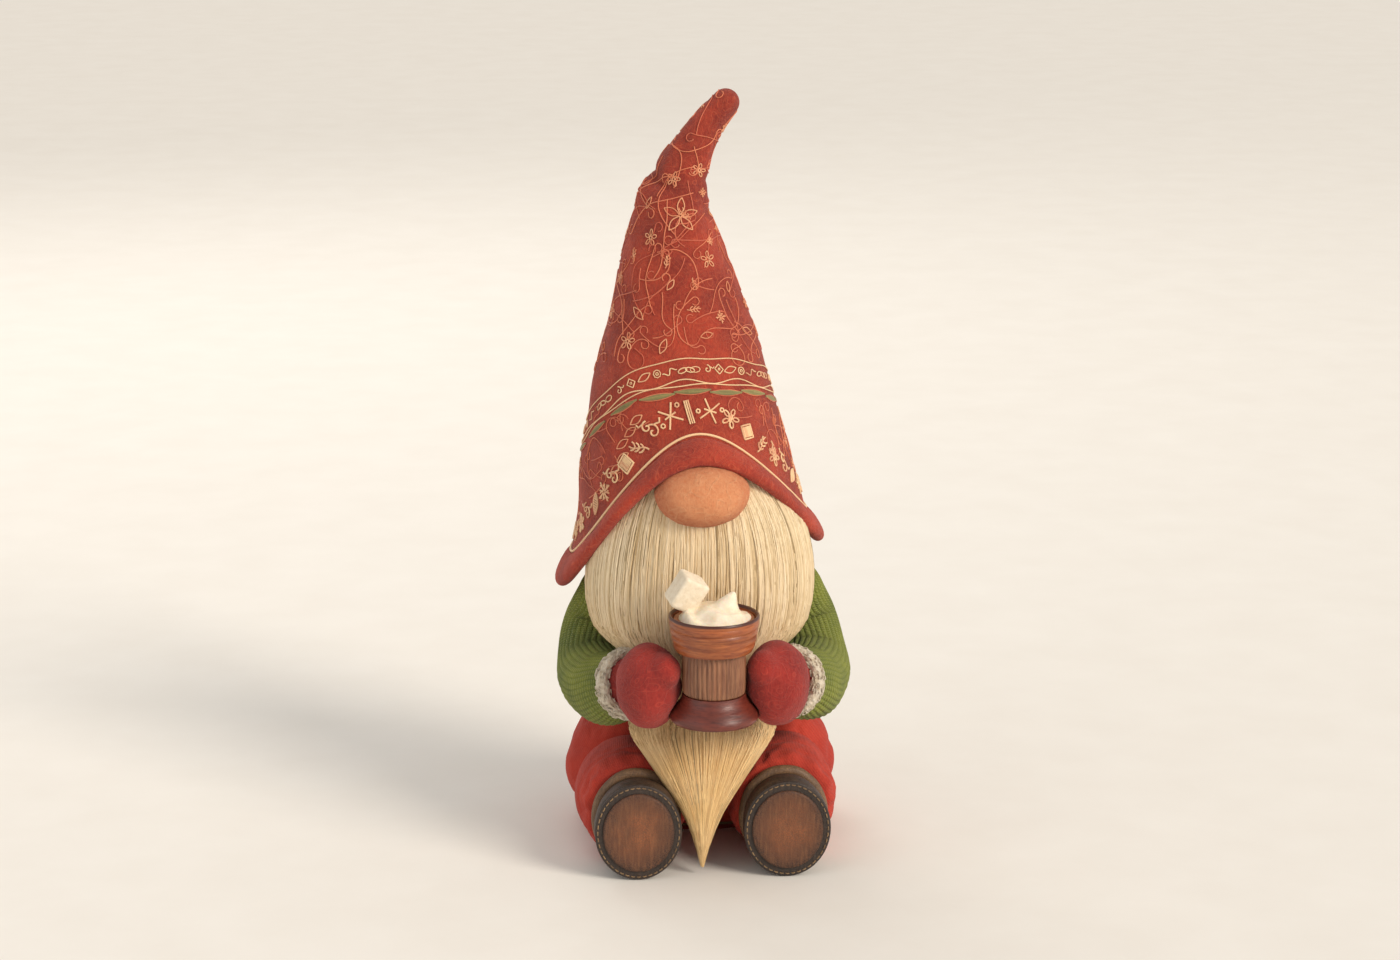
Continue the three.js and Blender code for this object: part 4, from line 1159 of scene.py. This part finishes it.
def ball(name, middle, reach, sign=1, segments=32, rings=20):
    """An oval ball, for blending into a mitten. The sign turns it to the figure's other side."""
    piece = primitive(name, "uv_sphere", segments=segments, ring_count=rings, radius=20 * MM)
    put(piece, (middle + places(piece) / 20 * reach) * [sign, 1, 1])
    return piece


def make_mitten(name, sign, path):
    """A mitten is three balls run together, smoothed, and pressed against the mug."""
    hand = ball(f"{name}_mitten_wool", MITTEN, [19.5, 23, 25.5], sign, 48, 32)
    thumb = ball("thumb", np.array([29, -111, 131]), [10, 11, 11.5], sign)
    point, _ = path.at(np.array([path.length + 7.0]))
    wrist = ball("wrist", point[0], [16.5, 12, 17])
    deselect()
    for part in (hand, thumb, wrist):
        part.select_set(True)
    bpy.context.view_layer.objects.active = hand
    bpy.ops.object.join()
    modify(hand, "REMESH", mode="VOXEL", voxel_size=0.0012)
    modify(hand, "SMOOTH", factor=0.6, iterations=30)
    points = places(hand)
    flat = points[:, :2] - MUG
    reach = np.linalg.norm(flat, axis=1)
    need = mug_radius(points[:, 2])
    points[:, :2] = MUG + flat * (np.maximum(reach, need) / reach)[:, None]
    # The knit draws in where it meets the cuff, and puckers softly over the knuckles.
    _, way = path.at(np.array([path.length]))
    back = (points - point) @ way[0]
    out = points - MITTEN * [sign, 1, 1]
    out /= np.linalg.norm(out, axis=1, keepdims=True)
    free = smooth(0, 2, reach - need)
    points += out * ((0.5 * lumps(points, 15, 12) + 0.16 * lumps(points, 5, 13)) * free)[:, None]
    points -= out * (1.2 * np.exp(-(((back - 4) / 2.2) ** 2)) * free)[:, None]
    put(hand, points)
    modify(hand, "SMOOTH", factor=0.5, iterations=3)
    bpy.ops.object.shade_smooth()
    dress(hand, "boiled_wool", f"{name}_arm", [f"{name}_mitten"])


# ---------- mug ----------
class TOMTE_OT_mug(bpy.types.Operator):
    """Turns the mug and fills it."""

    bl_idname = "tomte.mug"
    bl_label = "Mug"

    def execute(self, context):
        grooves = []
        for k in range(25):
            s = k / 24
            height = 143.2 + 20 * s
            body = np.interp(height, [143, 146, 152, 160, 163.6], [22.4, 23.8, 25.2, 26.3, 26.4])
            groove = 0.8 * (1 - abs(math.sin(s * math.pi * 4.5)) ** 0.5) if 0.06 < s < 0.9 else 0
            grooves.append((body - groove, height))
        lip = [(26.3, 163.6), (25.7, 164.2), (24.9, 164.0), (24.3, 163.2), (24.1, 161.8)]
        hoop = turned("mug_hoop_turned", [*grooves, *lip, (22.6, 150), (20.7, 143.2)], MUG)
        dress(hoop, "hoop_wood", "right_arm", ["mug_hoop"])

        reeds = size("reeds")

        def staves(u, v):
            angle = u * TAU
            height = 116.6 + 26.6 * v
            ease = smooth(0, 0.05, v) * smooth(1, 0.96, v)
            close = np.minimum(1, np.minimum(v, 1 - v) * 60)
            belly = 17.4 + 0.7 * np.sin(v * math.pi)
            radius = (belly + ease * (0.95 * np.abs(np.sin(angle * reeds / 2)) - 0.2)) * close
            return np.stack([MUG[0] + radius * np.cos(angle), MUG[1] + radius * np.sin(angle), height], -1)

        waist = surface("mug_reeded_waist", reeds * 8, 60, staves)
        dress(waist, "stave_wood", "right_arm", ["mug_staves"])

        profile = [(0, 100), (22, 100), (24.6, 100.5), (25.6, 101.6), (25.9, 103.2), (25.5, 105), (24.6, 106.6),
                   (23.6, 107.8), (23.3, 108.3), (22.2, 109.4), (20.7, 111), (19.4, 113), (18.7, 115), (18.5, 116.8),
                   (0, 116.8)]
        foot = turned("mug_foot_turned", profile, MUG)
        dress(foot, "foot_wood", "right_arm", ["mug_foot"])

        def whipped(u, v):
            angle = u * TAU
            radius = 23.0 * np.sqrt(np.clip(1 - v, 0, 1)) * np.minimum(1, v * 40 + 0.001)
            swirl = np.sin(3 * angle + v * 9)
            height = 159.5 + 10.5 * v**0.8 + 1.3 * swirl * np.sin(v * math.pi) * 1.3
            points = np.stack([MUG[0] + radius * np.cos(angle), MUG[1] + radius * np.sin(angle), height], -1)
            points[:, 2] += 0.9 * lumps(points, 9, 21) * np.sin(v * math.pi) ** 0.5
            peak = np.exp(-(((points[:, 0] - 8) / 5.5) ** 2) - (((points[:, 1] - MUG[1] + 1) / 5) ** 2))
            points[:, 2] += 8.5 * peak
            points[:, 0] += 3.5 * peak**2
            return points

        cream = surface("mug_whipped_cream", 120, 70, whipped)
        modify(cream, "SMOOTH", factor=0.5, iterations=6)
        dress(cream, "cream", "right_arm", ["mug_cream"])

        sweet = primitive("marshmallow_cube", "cube", size=1)
        pick_only(sweet)
        sweet.scale = (0.0165, 0.0155, 0.020)
        sweet.rotation_euler = (0.25, 0.5, 0.35)
        sweet.location = (-0.0155, -0.104, 0.1765)
        settle(sweet)
        bpy.ops.object.mode_set(mode="EDIT")
        bpy.ops.mesh.select_all(action="SELECT")
        bpy.ops.mesh.bevel(offset=0.0026, segments=5, affect="EDGES", profile=0.6)
        bpy.ops.mesh.subdivide(number_cuts=5)
        bpy.ops.object.mode_set(mode="OBJECT")
        points = places(sweet)
        out = points - points.mean(0)
        out /= np.linalg.norm(out, axis=1, keepdims=True)
        put(sweet, points + out * (0.3 * lumps(points, 9, 22) + 0.12 * lumps(points, 3, 23))[:, None])
        bpy.ops.object.shade_smooth()
        dress(sweet, "marshmallow", "right_arm", ["marshmallow"])
        return {"FINISHED"}


# ---------- jumper and trousers ----------
body_width = spline([(0, 52), (8, 57), (20, 62), (42, 63.5), (62, 57), (80, 46.5), (95, 43), (120, 42), (140, 37.5),
                     (150, 31), (158, 23)])


HIPS = 1.26


def torso(angle, height, out=0.0):
    """Points round the body. Angle 0 is the front."""
    radius = body_width(height) + out
    waist = smooth(60, 95, height)
    x = radius * np.sin(angle) * (HIPS + (1 - HIPS) * waist)
    y = -radius * np.cos(angle)
    y = np.where(y < 0, y * (0.56 + 0.44 * waist), y) + np.interp(height, [0, 80, 150], [8, 8, 0])
    return np.stack([x, y, height + 0 * x], -1)


class TOMTE_OT_clothes(bpy.types.Operator):
    """Makes the jumper, its hem and the seat of the trousers."""

    bl_idname = "tomte.clothes"
    bl_label = "Clothes"

    def execute(self, context):
        def jumper(u, v):
            angle, height = u * TAU, 76 + 81 * v
            close = np.minimum(1, (1 - v) * 22 + 0.02)
            ribs = 0.35 * np.abs(np.sin(angle * 55)) * np.minimum(1, close)
            points = torso(angle, height)
            soft = 0.9 * lumps(points, 30, 31) - 1.2 * np.exp(-(((height - 96 - 4 * np.sin(2 * angle)) / 3) ** 2))
            points = torso(angle, height, ribs + soft)
            middle = np.stack([0 * height, np.interp(height, [80, 150], [8, 0]), height], -1)
            return middle + (points - middle) * close[:, None]

        body = surface("jumper_body_knit", 440, 90, jumper)
        dress(body, "jumper_knit", "torso", ["jumper_body", "torso_stuffing"])

        def hem(u, v):
            angle, turn = u * TAU, v * TAU
            height = 78.5 + 6.3 * np.cos(turn)
            rib = 0.55 * np.abs(np.sin(angle * 60)) * (np.sin(turn) > 0)
            return torso(angle, height, 2.6 + 2.3 * np.sin(turn) + rib)

        band = surface("jumper_hem_rib", 480, 20, hem)
        dress(band, "hem_knit", "torso", ["jumper_hem"])

        def seat(u, v):
            angle, height = u * TAU, 2.2 + 79 * v
            close = np.minimum(1, np.minimum(v, 1 - v) * 26)
            points = torso(angle, height)
            fold = 0
            for k, (at, slope) in enumerate(((14, 6), (66, -9), (52, 7), (73, 5), (34, -12))):
                wave = (height - at - slope * np.sin(2 * angle + k)) / 2.8
                fold = fold - 1.5 * np.exp(-(wave**2)) * smooth(-0.6, 0.8, np.sin(angle * 2 + k * 1.7))
            soft = 1.2 * lumps(points, 36, 33) + 0.6 * lumps(points, 14, 34)
            gather = 0.8 * np.sin(angle * 34 + 2 * np.sin(angle * 5)) * smooth(56, 74, height)
            points = torso(angle, height, (fold + soft + gather) * close)
            middle = np.array([0, 8, 0]) + points * [0, 0, 1]
            return middle + (points - middle) * close[:, None]

        trousers = surface("trousers_seat_cloth", 300, 120, seat)
        stuff(trousers, 2.6, 0.05, 5.0, lambda p: (p[:, 2] < 9) | (p[:, 2] > 77))
        dress(trousers, "trousers", "torso", ["trousers_seat"])
        # A seam runs up the back of the seat.
        rise = np.linspace(12, 76, 60)
        ridge = threads("trousers_back_seam", [torso(math.pi, rise, 1.2) + [0.7, 0, 0]], 0.9, 6)
        dress(ridge, "trousers", "torso", ())
        return {"FINISHED"}


HIP = (45, -53.5, 33)
HIP_RADIUS = 32
LEG_LENGTH = 20.2
THIGH = 44
thigh_radius = spline([(-THIGH, 0), (-43, 10), (-40, 20), (-34, 27.5), (-26, 30.5), (-14, 31.6), (0, HIP_RADIUS),
                       (8, 31.4), (15, 29.8), (LEG_LENGTH, 28)])


class TOMTE_OT_legs(bpy.types.Operator):
    """Makes the stuffed trouser legs."""

    bl_idname = "tomte.legs"
    bl_label = "Legs"

    def execute(self, context):
        for name, sign in sides():
            def leg(u, v):
                angle = u * TAU
                run = -THIGH + (THIGH + LEG_LENGTH) * v
                radius = thigh_radius(run) * np.clip((1 - v) * 40, 0, 1)
                point = np.stack([radius * np.cos(angle), -run, radius * np.sin(angle)], -1)
                full = np.clip(radius / 20, 0, 1)
                gather = smooth(2, 17, run) * 0.9 * np.sin(angle * 15 + 1.1 * np.sin(angle * 3))
                fold = 0
                for k, (at, slope, deep) in enumerate(((6, 4, 1.6), (-8, -5, 1.9), (-19, 4, 1.6), (-1, 6, 1.1))):
                    wave = (run - at - slope * np.sin(angle * 2 + 1.3 * k)) / 2.4
                    fold = fold - deep * np.exp(-(wave**2)) * smooth(-0.4, 0.8, np.sin(angle + 0.9 * k))
                soft = 1.0 * lumps(point, 26, 41 + sign) + 0.5 * lumps(point, 10, 43)
                grow = np.minimum(radius + (gather + fold + soft) * full, HIP_RADIUS + 0.9)
                return np.stack([sign * HIP[0] + grow * np.cos(angle), HIP[1] - run, HIP[2] + grow * np.sin(angle)], -1)

            piece = surface(f"{name}_trouser_leg_cloth", 190, 130, leg)
            stuff(piece, 2.4, 0.06, 4.0, lambda p: (p[:, 1] > -14) | (p[:, 1] < -71))
            points = places(piece)
            points[:, 2] = np.maximum(points[:, 2], 0.6)
            put(piece, points)
            dress(piece, "trousers", None, [f"{name}_trouser_leg"])
            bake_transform(piece)
        return {"FINISHED"}


# ---------- boots ----------
def press(piece, factors, middle):
    """Resizes a piece round the origin in edit mode, then moves it to its middle, in millimetres."""
    pick_only(piece)
    bpy.ops.object.mode_set(mode="EDIT")
    bpy.ops.mesh.select_all(action="SELECT")
    bpy.ops.transform.resize(value=[f * MM for f in factors], center_override=(0, 0, 0))
    bpy.ops.transform.translate(value=[m * MM for m in middle])
    bpy.ops.object.mode_set(mode="OBJECT")


def drawn_out(name, sign, rings):
    """The boot's oval, extruded towards the toe. Each ring gives its run in millimetres and its share of the oval."""
    piece = primitive(name, "circle", vertices=60, radius=1, fill_type="NGON", rotation=(math.pi / 2, 0, 0))
    settle(piece)
    (run, share), *others = rings
    middle = [sign * BOOT["x"], BOOT["back"] - run, BOOT["high"]]
    press(piece, (BOOT["wide"] * share, 1, BOOT["high"] * share), middle)
    bpy.ops.object.mode_set(mode="EDIT")
    bpy.ops.mesh.select_mode(type="FACE")
    bpy.ops.mesh.select_all(action="SELECT")
    for next_run, next_share in others:
        bpy.ops.mesh.extrude_region_move(TRANSFORM_OT_translate={"value": (0, (run - next_run) * MM, 0)})
        centre = [middle[0] * MM, (BOOT["back"] - next_run) * MM, middle[2] * MM]
        bpy.ops.transform.resize(value=(next_share / share, 1, next_share / share), center_override=centre)
        run, share = next_run, next_share
    for step in (3, 5, 6):
        bpy.ops.mesh.inset(thickness=step * MM)
    bpy.ops.object.mode_set(mode="OBJECT")
    tidy(piece)
    modify(piece, "SUBSURF", levels=2, render_levels=2)
    bpy.ops.object.shade_smooth()
    return piece


BOOT = {"x": 44, "wide": 26, "high": 29.8, "back": -74}


class TOMTE_OT_boots(bpy.types.Operator):
    """Makes the boots with their rolled collars, welts and soles."""

    bl_idname = "tomte.boots"
    bl_label = "Boots"

    def execute(self, context):
        for name, sign in sides():
            upper = drawn_out(f"{name}_boot_upper_leather", sign,
                              [(1.5, 0.8), (2.4, 0.86), (6, 0.895), (8.6, 0.915), (10, 0.9), (11.6, 0.935), (15, 0.975),
                               (19.5, 0.99), (23, 0.975), (25, 0.945), (25.8, 0.9)])
            points = places(upper)
            points += (points - points.mean(0)) * (0.012 * lumps(points, 17, 52)[:, None] + 0.004) * [1, 0.3, 1]
            put(upper, points)
            dress(upper, "boot_leather", f"{name}_leg", [f"{name}_boot_upper"])

            # The collar is a leather roll: a ring, pressed to the boot's oval.
            roll = primitive(f"{name}_boot_collar_roll", "torus", major_segments=110, minor_segments=20, major_radius=1,
                             minor_radius=0.13, rotation=(math.pi / 2, 0, 0))
            settle(roll)
            middle = (sign * BOOT["x"], BOOT["back"] - 2.6, BOOT["high"])
            press(roll, (BOOT["wide"] * 0.915, 24, BOOT["high"] * 0.915), middle)
            points = places(roll)
            out = points - middle
            points += out * 0.008 * lumps(points, 12, 53)[:, None]
            points[:, 2] = np.maximum(points[:, 2], 0.3)
            put(roll, points)
            bpy.ops.object.shade_smooth()
            dress(roll, "collar_leather", f"{name}_leg", [f"{name}_boot_collar"])

            rand = drawn_out(f"{name}_boot_welt_strip", sign,
                             [(26.1, 0.9), (26.4, 0.955), (27, 0.985), (28.4, 0.995), (29.3, 0.985), (29.7, 0.955)])
            dress(rand, "welt_leather", f"{name}_leg", [f"{name}_boot_welt"])

            pad = drawn_out(f"{name}_boot_sole_slab", sign, [(29.4, 0.8), (29.7, 0.812), (30.5, 0.812), (31.1, 0.795),
                                                             (31.4, 0.76)])
            points = places(pad)
            points[:, 1] += 0.2 * lumps(points, 18, 51) * (points[:, 1] < -105)
            put(pad, points)
            dress(pad, "sole_leather", f"{name}_leg", [f"{name}_boot_sole"])

            stitches = []
            count = size("boot_stitches")
            for k in range(count):
                angle = (k + np.array([-0.3, 0.0, 0.3])) * TAU / count
                x = sign * BOOT["x"] + BOOT["wide"] * 0.925 * np.cos(angle)
                z = BOOT["high"] + BOOT["high"] * 0.925 * np.sin(angle)
                stitches.append(np.stack([x, BOOT["back"] - 30 + np.array([0.5, -0.15, 0.5]), z], -1))
            sewing = threads(f"{name}_boot_welt_stitches", stitches, 0.4)
            dress(sewing, "waxed_thread", f"{name}_leg", ())
        return {"FINISHED"}


# ---------- parts of the frame that stay ----------
KEPT = {
    "felt_base_pad": "pad_felt", "base_board": "hardboard", "weight_bag": "canvas", "shoulder_rod": "beech",
    "neck_bolt": "steel", "neck_nut": "steel", "neck_disc_lower": "hardboard", "neck_disc_upper": "hardboard",
    "nose_peg": "beech", "beard_backing_strip": "head_felt", "hat_wire": "steel", "hat_top_wire": "steel",
    "mug_cup": "hoop_wood", "mug_cocoa": "cocoa", "right_shoulder_disc": "hardboard", "left_shoulder_disc": "hardboard",
    "right_arm_wire": "steel", "left_arm_wire": "steel",
}


class TOMTE_OT_inner_parts(bpy.types.Operator):
    """Gives the frame's own boards, wires and bolts their finishes."""

    bl_idname = "tomte.inner_parts"
    bl_label = "Inner parts"

    def execute(self, context):
        for node, finish in KEPT.items():
            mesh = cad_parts[node].data
            mesh.materials.clear()
            mesh.materials.append(material(finish))
        return {"FINISHED"}


# ---------- stage ----------
FLOOR_SIZE = 60
LENS = 85
AZIMUTH, ELEVATION = math.radians(-4), math.radians(14)
DISTANCE = 1.98
VIEW_CENTRE = Vector((-0.002, -0.02, 0.222))
LIGHT_AIM = np.array([0, 0, 0.2])


class TOMTE_OT_stage(bpy.types.Operator):
    """Makes the pale floor, the soft studio lights and the camera."""

    bl_idname = "tomte.stage"
    bl_label = "Stage"

    def execute(self, context):
        floor = primitive("floor", "plane", size=FLOOR_SIZE)
        floor.data.materials.append(plain_with_grain("matt_paper_floor", "#efebe4", "#eae5dd", 60, 0.9, 0.0))
        # Plain display colours keep the felt as red as it is dyed.
        bpy.context.scene.view_settings.view_transform = "Standard"
        world = bpy.data.worlds.new("studio")
        bpy.context.scene.world = world
        world.use_nodes = True
        world.node_tree.nodes["Background"].inputs[0].default_value = (1.0, 0.975, 0.94, 1)
        world.node_tree.nodes["Background"].inputs[1].default_value = 0.58
        # The key is a wide sun, so that the floor has no hot spot on any side.
        for name, kind, place, size, power, colour in (
            ("key", "SUN", (1.5, -1.35, 1.35), math.radians(24), 2.33, (1.0, 0.91, 0.8)),
            ("fill", "AREA", (-1.7, -1.3, 0.9), 1.6, 4.5, (0.95, 0.97, 1.0)),
            ("back", "AREA", (-0.6, 1.8, 1.6), 1.4, 11, (1.0, 0.97, 0.93)),
        ):
            light = bpy.data.lights.new(name, kind)
            light.energy, light.color = power, colour
            setattr(light, "angle" if kind == "SUN" else "size", size)
            lamp = bpy.data.objects.new(name, light)
            bpy.context.scene.collection.objects.link(lamp)
            lamp.location = place
            lamp.rotation_euler = Vector(LIGHT_AIM - place).to_track_quat("-Z", "Y").to_euler()
        camera = bpy.data.objects.new("camera", bpy.data.cameras.new("camera"))
        bpy.context.scene.collection.objects.link(camera)
        camera.data.lens = LENS
        level = math.cos(ELEVATION)
        back = Vector((math.sin(AZIMUTH) * level, -math.cos(AZIMUTH) * level, math.sin(ELEVATION)))
        camera.location = VIEW_CENTRE + back * DISTANCE
        camera.rotation_euler = (-back).to_track_quat("-Z", "Y").to_euler()
        bpy.context.scene.camera = camera
        return {"FINISHED"}


STEPS = [TOMTE_OT_stage,
         TOMTE_OT_hat,
         TOMTE_OT_embroidery,
         TOMTE_OT_nose,
         TOMTE_OT_beard,
         TOMTE_OT_arms,
         TOMTE_OT_mug,
         TOMTE_OT_clothes,
         TOMTE_OT_legs,
         TOMTE_OT_boots,
         TOMTE_OT_inner_parts]


class TOMTE_PT_panel(bpy.types.Panel):
    """Lists the sizes, the colours and the steps."""

    bl_idname = "TOMTE_PT_panel"
    bl_label = "Tomte gnome"
    bl_space_type = "VIEW_3D"
    bl_region_type = "UI"
    bl_category = "Tomte"

    def draw(self, context):
        for group in (context.scene.tomte_sizes, context.scene.tomte_colours):
            box = self.layout.box()
            for key in type(group).__annotations__:
                box.prop(group, key)
        for step in STEPS:
            self.layout.operator(step.bl_idname)


CLASSES = [TomteColours, TomteSizes, *STEPS, TOMTE_PT_panel]


def register():
    for kind in CLASSES:
        bpy.utils.register_class(kind)
    bpy.types.Scene.tomte_colours = bpy.props.PointerProperty(type=TomteColours)
    bpy.types.Scene.tomte_sizes = bpy.props.PointerProperty(type=TomteSizes)


def unregister():
    del bpy.types.Scene.tomte_colours, bpy.types.Scene.tomte_sizes
    for kind in reversed(CLASSES):
        bpy.utils.unregister_class(kind)


def main():
    register()
    for step in STEPS:
        getattr(bpy.ops.tomte, step.bl_idname.split(".")[1])()


if __name__ == "__main__":
    main()
